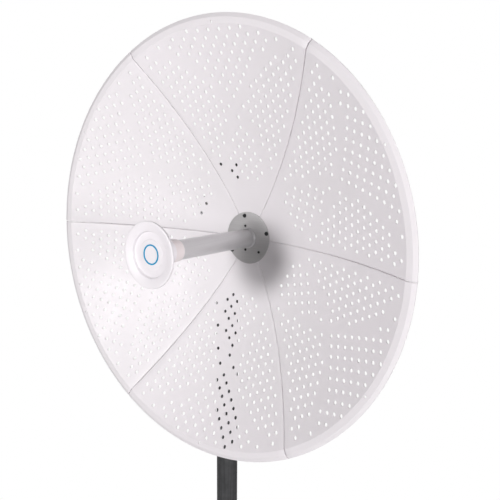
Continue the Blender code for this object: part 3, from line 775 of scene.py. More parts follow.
def fit(name: str, mesh: bpy.types.Mesh, surface: Surface, body: Body, slot: Slot,
        replaces: Iterable[str] = (), place: Matrix | None = None) -> bpy.types.Object:
    """Puts a finished piece on its body.

    Args:
        name: The piece's name.
        mesh: Its mesh.
        surface: Its finish.
        body: The body that carries it.
        slot: The record's slot that its finish belongs to; not used.
        replaces: The frame nodes that it stands for.
        place: Where the mesh goes, if it isn't in place already.

    Returns:
        The piece.
    """
    if place is not None:
        mesh.transform(place)
    piece = linked(name, mesh)
    mesh.materials.clear()
    mesh.materials.append(surface.material())
    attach(piece, body.value)
    nodes = tuple(replaces)
    if nodes:
        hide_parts(*nodes)
    LOG.info("%s: %d faces on %s, for %s", name, len(mesh.polygons), body.value, nodes or "trim")
    return piece


# ---------------------------------------------------------------- fasteners
@cache
def thread_tree() -> bpy.types.NodeTree:
    """A rod with a helical thread, from z = 0 down."""
    graph = GroupGraph("threaded_rod", "GeometryNodeTree")
    radius = graph.option("Radius", "Float")
    length = graph.option("Length", "Float")
    pitch = graph.option("Pitch", "Float")
    depth = graph.option("Depth", "Float")
    sides = graph.option("Sides", "Int")
    rows = graph.option("Rows", "Int")
    material = graph.option("Material", "Material")
    core = graph.node("GeometryNodeMeshCylinder", {"Vertices": sides, "Side Segments": rows, "Radius": radius,
                                                   "Depth": length})
    x, y, z = graph.split(graph.node("GeometryNodeInputPosition").outputs[0])
    lead = graph.over(graph.math("ARCTAN2", y, x), TURN)
    phase = graph.minus(graph.over(z, pitch), lead)
    groove = graph.times(graph.math("PINGPONG", phase, 0.5), 2.0)
    half = graph.times(length, 0.5)
    near_end = graph.ramp(graph.math("ABSOLUTE", z), graph.minus(half, pitch), half, 0.0, 1.0)
    cut = graph.times(depth, graph.math("MAXIMUM", groove, near_end))
    keep = graph.minus(1.0, graph.over(cut, radius))
    moved = graph.join(graph.times(x, keep), graph.times(y, keep),
                       graph.minus(z, half))
    shaped = graph.node("GeometryNodeSetPosition", {"Geometry": core.outputs["Mesh"], "Position": moved})
    real = graph.node("GeometryNodeRealizeInstances", {"Geometry": shaped.outputs[0]})
    dressed = graph.node("GeometryNodeSetMaterial", {"Geometry": real.outputs[0], "Material": material})
    graph.result("Geometry", "Geometry", dressed.outputs[0])
    return graph.tree


@cache
def set_tree() -> bpy.types.NodeTree:
    """Puts one shape on every spot of a point cloud, turned as the spot says."""
    graph = GroupGraph("fastener_set", "GeometryNodeTree")
    spots = graph.option("Spots", "Object")
    shape = graph.option("Shape", "Object")
    material = graph.option("Material", "Material")
    cloud = graph.node("GeometryNodeObjectInfo", {"Object": spots})
    single = graph.node("GeometryNodeObjectInfo", {"Object": shape})
    turn = graph.node("GeometryNodeInputNamedAttribute", {"Name": "turn"}, data_type="FLOAT_VECTOR")
    rotation = graph.node("FunctionNodeEulerToRotation", {0: turn.outputs[0]})
    placed = graph.node("GeometryNodeInstanceOnPoints", {"Points": cloud.outputs["Geometry"],
                                                         "Instance": single.outputs["Geometry"],
                                                         "Rotation": rotation.outputs[0]})
    real = graph.node("GeometryNodeRealizeInstances", {"Geometry": placed.outputs[0]})
    dressed = graph.node("GeometryNodeSetMaterial", {"Geometry": real.outputs[0], "Material": material})
    graph.result("Geometry", "Geometry", dressed.outputs[0])
    return graph.tree


def repeated(name: str, mesh: bpy.types.Mesh, places: Sequence[Matrix], surface: Surface) -> bpy.types.Mesh:
    """Repeats a shape at several places, as one plain mesh.

    Args:
        name: The mesh's name.
        mesh: The shape.
        places: Where each copy goes, without scale.
        surface: The finish of them all.

    Returns:
        The mesh.
    """
    spots = bpy.data.meshes.new(name + "_spots")
    spots.from_pydata([place.translation for place in places], [], [])
    turns = spots.attributes.new("turn", "FLOAT_VECTOR", "POINT")
    for value, place in zip(turns.data, places):
        value.vector = place.to_euler()
    helpers = [linked(name + "_spots", spots), linked(name + "_shape", mesh)]
    result = grown(name, set_tree(), {"Spots": helpers[0], "Shape": helpers[1],
                                      "Material": surface.material()})
    for helper in helpers:
        bpy.data.objects.remove(helper)
    return result


@dataclass(frozen=True)
class HexFastener:
    """The shapes of one size of hexagon bolt, nut and washer."""

    size: float
    pitch: float = 0.0015
    ring: int = 36

    @property
    def flats(self) -> float:
        """The width across the flats."""
        return self.size * 1.6

    @property
    def washer(self) -> float:
        """The thickness of the washer."""
        return self.size * 0.12

    def hexagon(self) -> list[float]:
        """The radius of a hexagon at each step round."""
        sixth = math.pi / 3
        steps = [TURN * step / self.ring % sixth - sixth / 2 for step in range(self.ring)]
        return [self.flats / 2 / math.cos(step) for step in steps]

    def chamfered(self, top: float, sign: float) -> list[tuple[float, float, float]]:
        """The wavy edge where the chamfer cone meets the hexagon's sides."""
        slope = math.tan(math.radians(28))
        rim = self.flats * 0.475
        radii = self.hexagon()
        return ring_points(radii, [top - sign * (radius - rim) * slope for radius in radii])

    def flat_ring(self, radius: float, height: float) -> list[tuple[float, float, float]]:
        """A round ring with as many points as the hexagon."""
        return ring_points([radius] * self.ring, [height] * self.ring)

    def head(self, height: float) -> bpy.types.Mesh:
        """A head from its seat at z = 0 to its top, chamfered, with a shallow dished top."""
        rim = self.flats * 0.475
        rings = [self.flat_ring(rim * 0.55, height - self.size * 0.03), self.flat_ring(rim, height),
                 self.chamfered(height, 1.0), ring_points(self.hexagon(), [self.size * 0.04] * self.ring),
                 self.flat_ring(rim, 0.0)]
        return lofted("head", rings, crease=24)

    def nut(self, height: float) -> bpy.types.Mesh:
        """A nut on z = 0, chamfered on both faces and countersunk at its bore."""
        rim, bore = self.flats * 0.475, self.size * 0.5
        rings = [self.flat_ring(bore * 1.12, height), self.flat_ring(rim, height),
                 self.chamfered(height, 1.0),
                 self.chamfered(0.0, -1.0), self.flat_ring(rim, 0.0), self.flat_ring(bore * 1.12, 0.0),
                 self.flat_ring(bore * 0.92, self.size * 0.06),
                 self.flat_ring(bore * 0.92, height - self.size * 0.06)]
        return lofted("nut", rings, True, crease=24)

    def washer_mesh(self) -> bpy.types.Mesh:
        """A flat washer on z = 0."""
        outer, bore, thick = self.size * 1.02, self.size * 0.54, self.washer
        return turned("washer", [(outer, thick, thick * 0.3), (outer, 0.0), (bore, 0.0), (bore, thick)], 48)

    def shank(self, length: float, plain: float) -> bpy.types.Mesh:
        """A shank below z = 0: plain at first, then threaded.

        Args:
            length: Its whole length.
            plain: The length of its plain part.

        Returns:
            The mesh.
        """
        radius = self.size / 2
        threaded = length - plain
        rows = max(6, round(threaded / self.pitch * 5))
        thread = grown("thread", thread_tree(), {
            "Radius": radius, "Length": threaded, "Pitch": self.pitch, "Depth": self.pitch * 0.52,
            "Sides": 18, "Rows": rows, "Material": Surface.ZINC_PLATED.material()})
        thread.shade_smooth()
        parts = [(thread, Matrix.Translation((0, 0, -plain)))]
        if plain > 0:
            plain_part = turned("plain", [(0, 0.0005), (radius, 0.0005), (radius, -plain), (0, -plain)], 24)
            parts.append((plain_part, Matrix.Identity(4)))
        return merged("shank", parts)

    def bolt(self, head_height: float, length: float, plain: float = 0.0) -> bpy.types.Mesh:
        """A bolt with its washer: the top of its head at z = 0, its tip below.

        Args:
            head_height: From the top of the head to the seat of the washer.
            length: From the top of the head to the tip.
            plain: The plain part of the shank.

        Returns:
            The mesh.
        """
        lift = head_height - self.washer
        return merged("bolt", [
            (self.head(lift), Matrix.Translation((0, 0, -lift))),
            (self.washer_mesh(), Matrix.Translation((0, 0, -head_height))),
            (self.shank(length - lift, plain), Matrix.Translation((0, 0, -lift)))])

    def nut_with_washer(self, height: float) -> bpy.types.Mesh:
        """A nut on its washer, its top at z = 0."""
        return merged("nut_set", [
            (self.nut(height - self.washer), Matrix.Translation((0, 0, self.washer - height))),
            (self.washer_mesh(), Matrix.Translation((0, 0, -height)))])


def seated(node: str, outward: Vector) -> tuple[Matrix, float]:
    """Where a frame fastener's outer end is, and how long it is.

    Args:
        node: The fastener's node.
        outward: The direction that its head or outer face looks in.

    Returns:
        The place of its outer end, with Z outward, and its length.
    """
    datum = along(Vector(), outward).centred_on(node)
    span = datum.span(node)
    return datum.matrix @ Matrix.Translation((0, 0, span.high)), span.high - span.low


# ---------------------------------------------------------------- reflector
@dataclass(frozen=True)
class Lattice:
    """Rows of holes across a petal, centred on its midline."""

    first: float
    step: float
    spacing: float
    counts: tuple[int, ...]

    def holes(self) -> list[tuple[float, float]]:
        """Every hole as (across, out)."""
        return [((place - (count - 1) / 2) * self.spacing, self.first + row * self.step)
                for row, count in enumerate(self.counts) for place in range(count)]


@dataclass(frozen=True)
class SideGroup:
    """Columns of a hexagonal lattice on both sides of the midline."""

    first_column: float
    column_step: float
    level: float
    pitch: float
    tops: tuple[int, ...]
    counts: tuple[int, ...]

    def holes(self) -> list[tuple[float, float]]:
        """Every hole as (across, out); tops count half pitches above the level."""
        found = []
        for column, (top, count) in enumerate(zip(self.tops, self.counts)):
            across = self.first_column + column * self.column_step
            for place in range(count):
                out = self.level + (top / 2 - place) * self.pitch
                found += [(-across, out), (across, out)]
        return found


@dataclass
class Reflector:
    """Six perforated petals with a rolled lip, and the bolts along their seams."""

    datum: Datum
    petals: int = 6
    rim: float = 0.4572
    focal_length: float = 0.3137
    sheet: float = 0.0016
    inner: float = 0.048
    gap: float = math.radians(0.07)
    lip_start: float = 0.4371
    lip_crest: float = 0.44897
    lip_rise: float = 0.0016
    lip_drop: float = 0.0026
    fold: float = 0.0022
    rib: float = 0.012
    rib_start: float = 0.0955
    lip_tab: float = 0.004
    hole: float = 0.00365
    hole_sides: int = 20
    bowl_rows: int = 34
    lip_rows: int = 12
    columns: int = 26
    fold_columns: int = 4
    seam_radii: tuple[float, ...] = (0.130, 0.205, 0.280, 0.355, 0.415)
    fan: Lattice = Lattice(0.3061, 0.01351, 0.0272, (1, 2, 3, 4, 5, 6, 9, 12, 9, 6))
    heart: Lattice = Lattice(0.2433, -0.01353, 0.0272, (1, 2, 3, 2, 3, 4, 3, 4, 3))
    sides: SideGroup = SideGroup(0.01923, 0.01663, 0.2860, 0.01916, (0, 1, 4, 5, 6, 7, 8, 9, 8, 9, 10),
                                 (1, 3, 7, 10, 9, 8, 7, 6, 4, 3, 2))
    lone_holes: tuple[tuple[float, float], ...] = ((0.0, 0.2644),)
    drain_hole: tuple[float, float] = (0.0, 0.4408)
    crease_reach: float = 0.0002

    @property
    def half_angle(self) -> float:
        """Half of what one petal spans."""
        return math.pi / self.petals - self.gap

    def depth(self, radius: float) -> float:
        """How far forward the bowl stands at a radius."""
        return radius * radius / (4 * self.focal_length)

    def hole_spots(self) -> bpy.types.Object:
        """A cloud of the hole centres, each with its share of the full width."""
        full = [*self.fan.holes(), *self.heart.holes(), *self.sides.holes(), *self.lone_holes]
        spots = [(across, out, 0.0) for across, out in [*full, self.drain_hole]]
        mesh = bpy.data.meshes.new("hole_spots")
        mesh.from_pydata(spots, [], [])
        width = mesh.attributes.new("width", "FLOAT", "POINT")
        width.data.foreach_set("value", [1.0] * len(full) + [0.7])
        return linked("hole_spots", mesh)

    def blank(self, graph: GroupGraph) -> bpy.types.NodeSocket:
        """Adds the nodes of the flat blank, with a strip along each seam for the rib.

        Args:
            graph: The petal's graph, with its options.

        Returns:
            The blank's geometry.
        """
        option = graph.entry.outputs
        across = self.columns + 2 * self.fold_columns
        up = self.bowl_rows + self.lip_rows
        block = graph.node("GeometryNodeMeshCube", {"Size": (1.0, 1.0, 1.0), "Vertices X": across + 1,
                                                    "Vertices Y": up + 1, "Vertices Z": 2})
        x, y, z = graph.split(graph.node("GeometryNodeInputPosition").outputs[0])
        column = graph.times(graph.plus(x, 0.5), float(across))
        row = graph.times(graph.plus(y, 0.5), float(up))
        bowl = graph.ramp(row, 0.0, float(self.bowl_rows), option["Inner Radius"], option["Lip Start"])
        crest_row = float(self.bowl_rows + self.lip_rows // 2)
        rise_width = graph.minus(option["Lip Crest"], option["Lip Start"])
        curl_width = graph.minus(option["Rim Radius"], option["Lip Crest"])
        rise = graph.ramp(row, float(self.bowl_rows), crest_row, 0.0, rise_width)
        curl = graph.ramp(row, crest_row, float(up), 0.0, curl_width)
        radius = graph.plus(bowl, graph.plus(rise, curl))
        start, end = float(self.fold_columns), float(self.fold_columns + self.columns)
        share = graph.ramp(column, start, end, -1.0, 1.0)
        beyond = graph.math("MAXIMUM", graph.minus(start, column), graph.minus(column, end))
        beyond = graph.math("MAXIMUM", beyond, 0.0)
        bends = float(self.fold_columns - 1)
        arc = graph.times(option["Fold Radius"], math.pi / 2 / bends)
        bend = graph.times(graph.math("MINIMUM", beyond, bends), arc)
        taper = graph.ramp(radius, self.rib_start, self.rib_start + 0.02, 0.0004, graph.math(
            "SUBTRACT", option["Rib Depth"], option["Fold Radius"]))
        tab = graph.minus(option["Rib Depth"], option["Lip Tab"])
        shorter = graph.ramp(radius, self.lip_start - 0.05, self.lip_start, 0.0, tab)
        straight = graph.minus(taper, shorter)
        strip = graph.times(graph.math("MAXIMUM", graph.minus(beyond, bends), 0.0), straight)
        extra = graph.plus(bend, strip)
        inset = graph.math("ARCSINE", graph.over(option["Fold Radius"], radius))
        angle = graph.times(share, graph.minus(option["Half Angle"], inset))
        side = graph.math("SIGN", share)
        out_x = graph.times(side, graph.times(extra, graph.math("COSINE", option["Half Angle"])))
        out_y = graph.times(extra, graph.math("SINE", option["Half Angle"]))
        flat_x = graph.plus(graph.times(radius, graph.math("SINE", angle)), out_x)
        flat_y = graph.minus(graph.times(radius, graph.math("COSINE", angle)), out_y)
        flat_z = graph.times(graph.minus(z, 0.5), option["Sheet"])
        flat = graph.join(flat_x, flat_y, flat_z)
        laid = graph.node("GeometryNodeSetPosition", {"Geometry": block.outputs["Mesh"], "Position": flat})
        return laid.outputs[0]

    def punched(self, graph: GroupGraph, sheet: bpy.types.NodeSocket) -> bpy.types.NodeSocket:
        """Adds the nodes that punch the holes through the blank.

        Args:
            graph: The petal's graph.
            sheet: The blank's geometry.

        Returns:
            The punched blank, in triangles.
        """
        option = graph.entry.outputs
        punch = graph.node("GeometryNodeMeshCylinder",
                           {"Vertices": self.hole_sides, "Radius": option["Hole Radius"],
                                                        "Depth": 0.01})
        cloud = graph.node("GeometryNodeObjectInfo", {"Object": option["Holes"]})
        width = graph.node("GeometryNodeInputNamedAttribute", {"Name": "width"}, data_type="FLOAT")
        scale = graph.join(width.outputs[0], width.outputs[0], 1.0)
        punches = graph.node("GeometryNodeInstanceOnPoints", {"Points": cloud.outputs["Geometry"],
                                                              "Instance": punch.outputs["Mesh"],
                                                              "Scale": scale})
        real = graph.node("GeometryNodeRealizeInstances", {"Geometry": punches.outputs[0]})
        cut = graph.node("GeometryNodeMeshBoolean", operation="DIFFERENCE", solver="EXACT")
        graph.feed(cut.inputs[0], sheet)
        graph.feed(cut.inputs[1], real.outputs[0])
        return graph.node("GeometryNodeTriangulate", {0: cut.outputs[0]}).outputs[0]

    def forward(self, graph: GroupGraph, radius: bpy.types.NodeSocket) -> bpy.types.NodeSocket:
        """Adds the nodes of the section: a parabola, then the lip."""
        option = graph.entry.outputs
        bowl_radius = graph.math("MINIMUM", radius, option["Lip Start"])
        squared = graph.times(bowl_radius, bowl_radius)
        bowl = graph.over(squared, graph.times(option["Focal Length"], 4.0))
        rise = graph.ramp(radius, option["Lip Start"], option["Lip Crest"], 0.0, option["Lip Rise"])
        curl = graph.ramp(radius, option["Lip Crest"], option["Rim Radius"], 0.0, option["Lip Drop"])
        return graph.minus(graph.plus(bowl, rise), curl)

    def formed(self, graph: GroupGraph, sheet: bpy.types.NodeSocket) -> bpy.types.NodeSocket:
        """Adds the nodes that press the blank into the bowl and fold its ribs back.

        Args:
            graph: The petal's graph.
            sheet: The punched blank.

        Returns:
            The formed petal.
        """
        option = graph.entry.outputs
        half, fold = option["Half Angle"], option["Fold Radius"]
        cosine, sine = graph.math("COSINE", half), graph.math("SINE", half)
        x, y, z = graph.split(graph.node("GeometryNodeInputPosition").outputs[0])
        wide = graph.math("ABSOLUTE", x)
        past = graph.minus(graph.times(wide, cosine), graph.times(y, sine))
        outward = graph.plus(graph.times(wide, sine), graph.times(y, cosine))
        run = graph.math("MAXIMUM", graph.plus(past, fold), 0.0)
        bend = graph.math("MINIMUM", graph.over(run, fold), math.pi / 2)
        straight = graph.math("MAXIMUM", graph.minus(run, graph.times(fold, math.pi / 2)), 0.0)
        reach = graph.plus(fold, z)
        lateral = graph.minus(graph.times(reach, graph.math("SINE", bend)), fold)
        drop = graph.minus(graph.times(reach, graph.math("COSINE", bend)), fold)
        drop = graph.minus(drop, straight)
        side = graph.math("SIGN", x)
        rib_x = graph.plus(graph.times(outward, sine), graph.times(lateral, cosine))
        rib_y = graph.minus(graph.times(outward, cosine), graph.times(lateral, sine))
        rib = graph.join(graph.times(side, rib_x), rib_y,
                         graph.plus(self.forward(graph, outward), drop))
        radius = graph.math("SQRT", graph.plus(graph.times(x, x), graph.times(y, y)))
        slope = graph.over(graph.math("MINIMUM", radius, option["Lip Start"]),
                           graph.times(option["Focal Length"], 2.0))
        stretch = graph.math("SQRT", graph.plus(graph.times(slope, slope), 1.0))
        face = graph.join(x, y, graph.plus(self.forward(graph, radius), graph.times(z, stretch)))
        in_rib = graph.math("GREATER_THAN", run, 0.000001)
        chosen = graph.node("ShaderNodeMix", data_type="VECTOR")
        for index, value in ((0, in_rib), (4, face), (5, rib)):
            graph.feed(chosen.inputs[index], value)
        return graph.node("GeometryNodeSetPosition",
                          {"Geometry": sheet, "Position": chosen.outputs[1]}).outputs[0]

    def tree(self) -> bpy.types.NodeTree:
        """The geometry tree of one petal."""
        graph = GroupGraph("perforated_petal", "GeometryNodeTree")
        graph.option("Holes", "Object")
        graph.option("Material", "Material")
        for name in ("Rim Radius", "Focal Length", "Sheet", "Inner Radius", "Half Angle", "Hole Radius",
                     "Lip Start",
                     "Lip Crest", "Lip Rise", "Lip Drop", "Fold Radius", "Rib Depth", "Lip Tab"):
            graph.option(name, "Float")
        formed = self.formed(graph, self.punched(graph, self.blank(graph)))
        real = graph.node("GeometryNodeRealizeInstances", {"Geometry": formed})
        dressed = graph.node("GeometryNodeSetMaterial", {"Geometry": real.outputs[0],
                                                         "Material": graph.entry.outputs["Material"]})
        graph.result("Geometry", "Geometry", dressed.outputs[0])
        return graph.tree

    def petal(self) -> bpy.types.Mesh:
        """One petal, its midline along +Y, its bowl open towards +Z."""
        spots = self.hole_spots()
        mesh = grown("petal", self.tree(), {
            "Holes": spots, "Material": Surface.POWDER_COAT.material(), "Rim Radius": self.rim,
            "Focal Length": self.focal_length, "Sheet": self.sheet, "Inner Radius": self.inner,
            "Half Angle": self.half_angle, "Hole Radius": self.hole, "Lip Start": self.lip_start,
            "Lip Crest": self.lip_crest, "Lip Rise": self.lip_rise, "Lip Drop": self.lip_drop,
            "Fold Radius": self.fold, "Rib Depth": self.rib, "Lip Tab": self.lip_tab})
        bpy.data.objects.remove(spots)
        mesh.shade_smooth()
        mesh.set_sharp_from_angle(angle=math.radians(40))
        self.crease_lip(mesh)
        return mesh

    def crease_lip(self, mesh: bpy.types.Mesh) -> None:
        """Marks the lip's two bends sharp, so that each band of it shades on its own.

        Args:
            mesh: A petal before it is turned into place.
        """
        places = np.empty(len(mesh.vertices) * 3, np.float32)
        mesh.vertices.foreach_get("co", places)
        radii = np.hypot(*places.reshape(-1, 3)[:, :2].T)
        ends = np.empty(len(mesh.edges) * 2, np.int32)
        mesh.edges.foreach_get("vertices", ends)
        spans = radii[ends.reshape(-1, 2)]
        sharp = np.empty(len(mesh.edges), bool)
        mesh.edges.foreach_get("use_edge_sharp", sharp)
        for bend in (self.lip_start, self.lip_crest):
            sharp |= np.all(np.abs(spans - bend) < self.crease_reach, axis=1)
        mesh.edges.foreach_set("use_edge_sharp", sharp)

    def true_normals(self, mesh: bpy.types.Mesh) -> None:
        """Gives the bowl's two faces the exact normals of the parabola.

        Args:
            mesh: A petal before it is turned into place.
        """
        corners = np.empty(len(mesh.loops) * 3, np.float32)
        mesh.corner_normals.foreach_get("vector", corners)
        corners = corners.reshape(-1, 3)
        places = np.empty(len(mesh.vertices) * 3, np.float32)
        mesh.vertices.foreach_get("co", places)
        used = np.empty(len(mesh.loops), np.int32)
        mesh.loops.foreach_get("vertex_index", used)
        spots = places.reshape(-1, 3)[used]
        exact = np.column_stack((-spots[:, 0], -spots[:, 1], np.full(len(spots), 2 * self.focal_length)))
        exact /= np.linalg.norm(exact, axis=1, keepdims=True)
        radii = np.hypot(spots[:, 0], spots[:, 1])
        past = np.abs(spots[:, 0]) * math.cos(self.half_angle) - spots[:, 1] * math.sin(self.half_angle)
        in_bowl = (radii < self.lip_start - 0.0015) & (past < -self.fold - 0.0005)
        agree = np.einsum("ij,ij->i", corners, exact)
        corners[in_bowl & (agree > 0.7)] = exact[in_bowl & (agree > 0.7)]
        corners[in_bowl & (agree < -0.7)] = -exact[in_bowl & (agree < -0.7)]
        mesh.normals_split_custom_set(corners.tolist())

    def seam_bolt(self) -> bpy.types.Mesh:
        """A short bolt through two ribs: its head on one side, its nut on the other."""
        fastener = HexFastener(0.005, 0.0008)
        seat = self.sheet + 0.0006
        head, nut = 0.0032, 0.0040
        turned_over = Matrix.Translation((0, 0, -seat - nut)) @ HALF_TURN @ Matrix.Translation((0, 0, nut))
        return merged("seam_bolt", [
            (fastener.bolt(head, 2 * seat + 0.0092), Matrix.Translation((0, 0, seat + head))),
            (fastener.nut_with_washer(nut), turned_over)])

    def seam_places(self) -> list[Matrix]:
        """Where the seam bolts go, each across its seam."""
        places = []
        for seam in range(self.petals):
            for radius in self.seam_radii:
                turn = Euler((0, 0, seam * TURN / self.petals)).to_matrix().to_4x4()
                spot = Matrix.Translation((radius, 0, self.depth(radius) - 0.0068))
                across = Euler((-math.pi / 2, 0, 0)).to_matrix().to_4x4()
                places.append(self.datum.matrix @ turn @ spot @ across)
        return places

    def build(self) -> None:
        """Makes the petals and their seam bolts."""
        petal = self.petal()
        self.true_normals(petal)
        for number in range(self.petals):
            turn = Euler((0, 0, -number * TURN / self.petals)).to_matrix().to_4x4()
            name = f"petal_{number + 1}"
            fit(f"perforated_{name}", petal.copy(), Surface.POWDER_COAT, Body.DISH, Slot.WHITE_PAINT, [name],
                self.datum.matrix @ turn)
        bolts = repeated("seam_bolts", self.seam_bolt(), self.seam_places(), Surface.ZINC_PLATED)
        fit("seam_bolts", bolts, Surface.ZINC_PLATED, Body.DISH, Slot.ZINC)


# ---------------------------------------------------------------- hub
@dataclass
class Hub:
    """The plates that clamp the petals, their bolts and the ring at the tube's foot."""

    datum: Datum
    bolt_count: int = 3

    def plate(self, node: str, surface: Surface, slot: Slot, edge: float) -> None:
        """Remakes a round plate with an eased edge.

        Args:
            node: The frame node.
            surface: Its finish.
            slot: Its slot.
            edge: How far its outer edge is rounded.
        """
        span = self.datum.span(node)
        profile = [(span.outer, span.high, edge), (span.outer, span.low, edge), (span.inner, span.low),
                   (span.inner, span.high, edge)]
        fit(node + "_turned", turned(node, profile, 144), surface, Body.DISH, slot, [node], self.datum.matrix)

    def heads(self, prefix: str, fastener: HexFastener, name: str, head: float) -> None:
        """Remakes a set of bolts through the hub.

        Args:
            prefix: The frame nodes' shared name.
            fastener: Their size.
            name: The piece's name.
            head: The height of head and washer.
        """
        nodes = [f"{prefix}_{number}" for number in range(1, self.bolt_count + 1)]
        outward = self.datum.matrix.to_3x3() @ Vector((0, 0, 1))
        seats = [seated(node, outward) for node in nodes]
        bolt = fastener.bolt(head, seats[0][1], 0.002)
        mesh = repeated(name, bolt, [place for place, _ in seats], Surface.BLACK_OXIDE)
        fit(name, mesh, Surface.BLACK_OXIDE, Body.DISH, Slot.DARK_BOLT, nodes)

    def base_ring(self) -> None:
        """The stepped ring that the feed tube turns in."""
        span = self.datum.span("feed_base_ring")
        groove = span.low + (span.high - span.low) * 0.55
        profile = [(span.outer, groove - 0.0006, 0.0003), (span.outer, span.low), (span.inner, span.low),
                   (span.inner, span.high, 0.0003), (span.outer - 0.0008, span.high, 0.0008),
                   (span.outer - 0.0008, groove, 0.0002)]
        fit("feed_base_ring_turned", turned("feed_base_ring", profile, 128), Surface.TUBE_ALUMINIUM,
            Body.DISH,
            Slot.ALUMINIUM, ["feed_base_ring"], self.datum.matrix)

    def build(self) -> None:
        """Makes the hub's pieces."""
        self.plate("hub_front_plate", Surface.HUB_ALUMINIUM, Slot.ALUMINIUM, 0.0004)
        self.plate("hub_backing_plate", Surface.ZINC_PLATED, Slot.ZINC, 0.0008)
        self.heads("hub_bolt", HexFastener(0.0045, 0.0008), "hub_bolts", 0.0029)
        self.heads("feed_screw", HexFastener(0.0028, 0.0005), "feed_screws", 0.0018)
        self.base_ring()


# ---------------------------------------------------------------- feed
@dataclass
class Feed:
    """The tube along the boresight, its stepped cover, and the ports behind the hub."""

    datum: Datum
    recess: float = 0.0440
    boss: float = 0.0288
    face: float = 0.3060
    split: float = 0.3110

    def turn(self, node: str, name: str, profile: Profile, surface: Surface, slot: Slot, sides: int = 128,
             crease: float = 32.0) -> None:
        """Turns a profile about the boresight and fits it for a frame node.

        Args:
            node: The frame node that it stands for.
            name: The piece's name.
            profile: Points (radius, height) or (radius, height, corner radius).
            surface: Its finish.
            slot: Its slot.
            sides: How many facets go round.
            crease: The angle above which an edge is sharp, in degrees.
        """
        mesh = turned(name, profile, sides, crease)
        fit(name, mesh, surface, Body.FEED, slot, [node], self.datum.matrix)

    def tube(self) -> None:
        """The drawn tube, its ends eased."""
        span = self.datum.span("feed_tube")
        profile = [(span.outer, span.high, 0.0003), (span.outer, span.low, 0.0003), (span.inner, span.low),
                   (span.inner, span.high)]
        self.turn("feed_tube", "feed_tube_drawn", profile, Surface.TUBE_ALUMINIUM, Slot.ALUMINIUM)

    def collar(self) -> None:
        """The moulded collar that grips the tube, swelling towards the cover."""
        span = self.datum.span("feed_collar")
        length = span.high - span.low
        profile = [(span.outer - 0.0006, span.high, 0.0004), (span.outer, span.high - 0.002, 0.001),
                   (span.outer - 0.0003, span.high - length * 0.45, 0.002),
                   (span.outer - 0.0015, span.low + 0.0014, 0.001), (span.outer - 0.0019, span.low, 0.0004),
                   (span.inner, span.low), (span.inner, span.high)]
        self.turn("feed_collar", "feed_collar_moulded", profile, Surface.COLLAR_WHITE, Slot.WHITE_PLASTIC)

    def rear_cover(self) -> None:
        """The cone behind the disc, with its edge rounded over."""
        span = self.datum.span("feed_cover_rear")
        edge, top = span.outer, span.high
        neck, bore = 0.0246, span.inner + 0.0006
        profile = [(edge - 0.004, top), (edge, top, 0.0002), (edge, top - 0.0010, 0.0008),
                   (0.0600, top - 0.0028, 0.004), (0.0480, top - 0.0098, 0.008),
                   (0.0360, top - 0.0178, 0.008),
                   (0.0275, top - 0.0278, 0.008), (neck, top - 0.0400, 0.006), (neck, span.low, 0.0006),
                   (span.inner, span.low), (span.inner, span.low + 0.0025),
                   (bore + 0.0016, span.low + 0.0045),
                   (bore + 0.0016, top - 0.0400, 0.004), (0.0255, top - 0.0270, 0.006),
                   (0.0338, top - 0.0168, 0.006),
                   (0.0462, top - 0.0084, 0.006), (0.0585, top - 0.0012)]
        self.turn("feed_cover_rear", "feed_cover_rear_moulded", profile, Surface.MOULDED_WHITE,
                  Slot.WHITE_PLASTIC, 160)

    def front_cover(self) -> None:
        """The stepped disc: a broad rim that slopes in, a recess, and a raised middle."""
        span = self.datum.span("feed_cover_front")
        edge, top = span.outer, span.high
        floor = self.face - 0.001
        profile = [(0.0, self.face), (self.boss - 0.0006, self.face, 0.0006),
                   (self.boss + 0.0004, floor, 0.0006),
                   (self.recess - 0.0006, floor, 0.0014), (self.recess + 0.0010, self.face + 0.0044, 0.0012),
                   (0.0530, top - 0.0018, 0.004), (0.0606, top - 0.0002, 0.002), (edge, top - 0.0006, 0.0018),
                   (edge, self.split, 0.0002), (edge - 0.004, self.split), (0.0590, self.split),
                   (self.recess + 0.0022, self.face + 0.0014), (self.recess, self.face - 0.0026),
                   (0.0, self.face - 0.0026)]
        self.turn("feed_cover_front", "feed_cover_front_moulded", profile, Surface.MOULDED_WHITE,
                  Slot.WHITE_PLASTIC, 160, 60)

    def ring(self) -> None:
        """The printed ring on the middle of the disc, with no lettering."""
        span = self.datum.span("feed_ring")
        profile = [(span.outer, span.high, 0.0002), (span.outer, self.face), (span.inner, self.face),
                   (span.inner, span.high, 0.0002)]
        self.turn("feed_ring", "feed_ring_printed", profile, Surface.BLUE_INK, Slot.BLUE_PRINT)

    def inside(self) -> None:
        """The dielectric plug and the small mirror behind the disc."""
        span = self.datum.span("dielectric_plug")
        tip = 0.45 * span.outer
        plug = [(0.0, span.high), (tip, span.high - 0.004, 0.002), (span.outer, span.high - 0.016, 0.002),
                (span.outer, span.low + 0.012, 0.002), (0.0, span.low)]
        self.turn("dielectric_plug", "dielectric_plug_turned", plug, Surface.FLUOROPOLYMER, Slot.DIELECTRIC,
                  64)
        mirror = self.datum.span("subreflector")
        thick = 0.002
        shape = [(0.0, mirror.high), (mirror.outer, mirror.high, 0.0004),
                 (mirror.outer, mirror.high - thick, 0.0004),
                 (0.45 * mirror.outer, mirror.high - thick, 0.004), (0.0, mirror.low)]
        self.turn("subreflector", "subreflector_spun", shape, Surface.TUBE_ALUMINIUM, Slot.ALUMINIUM, 96)

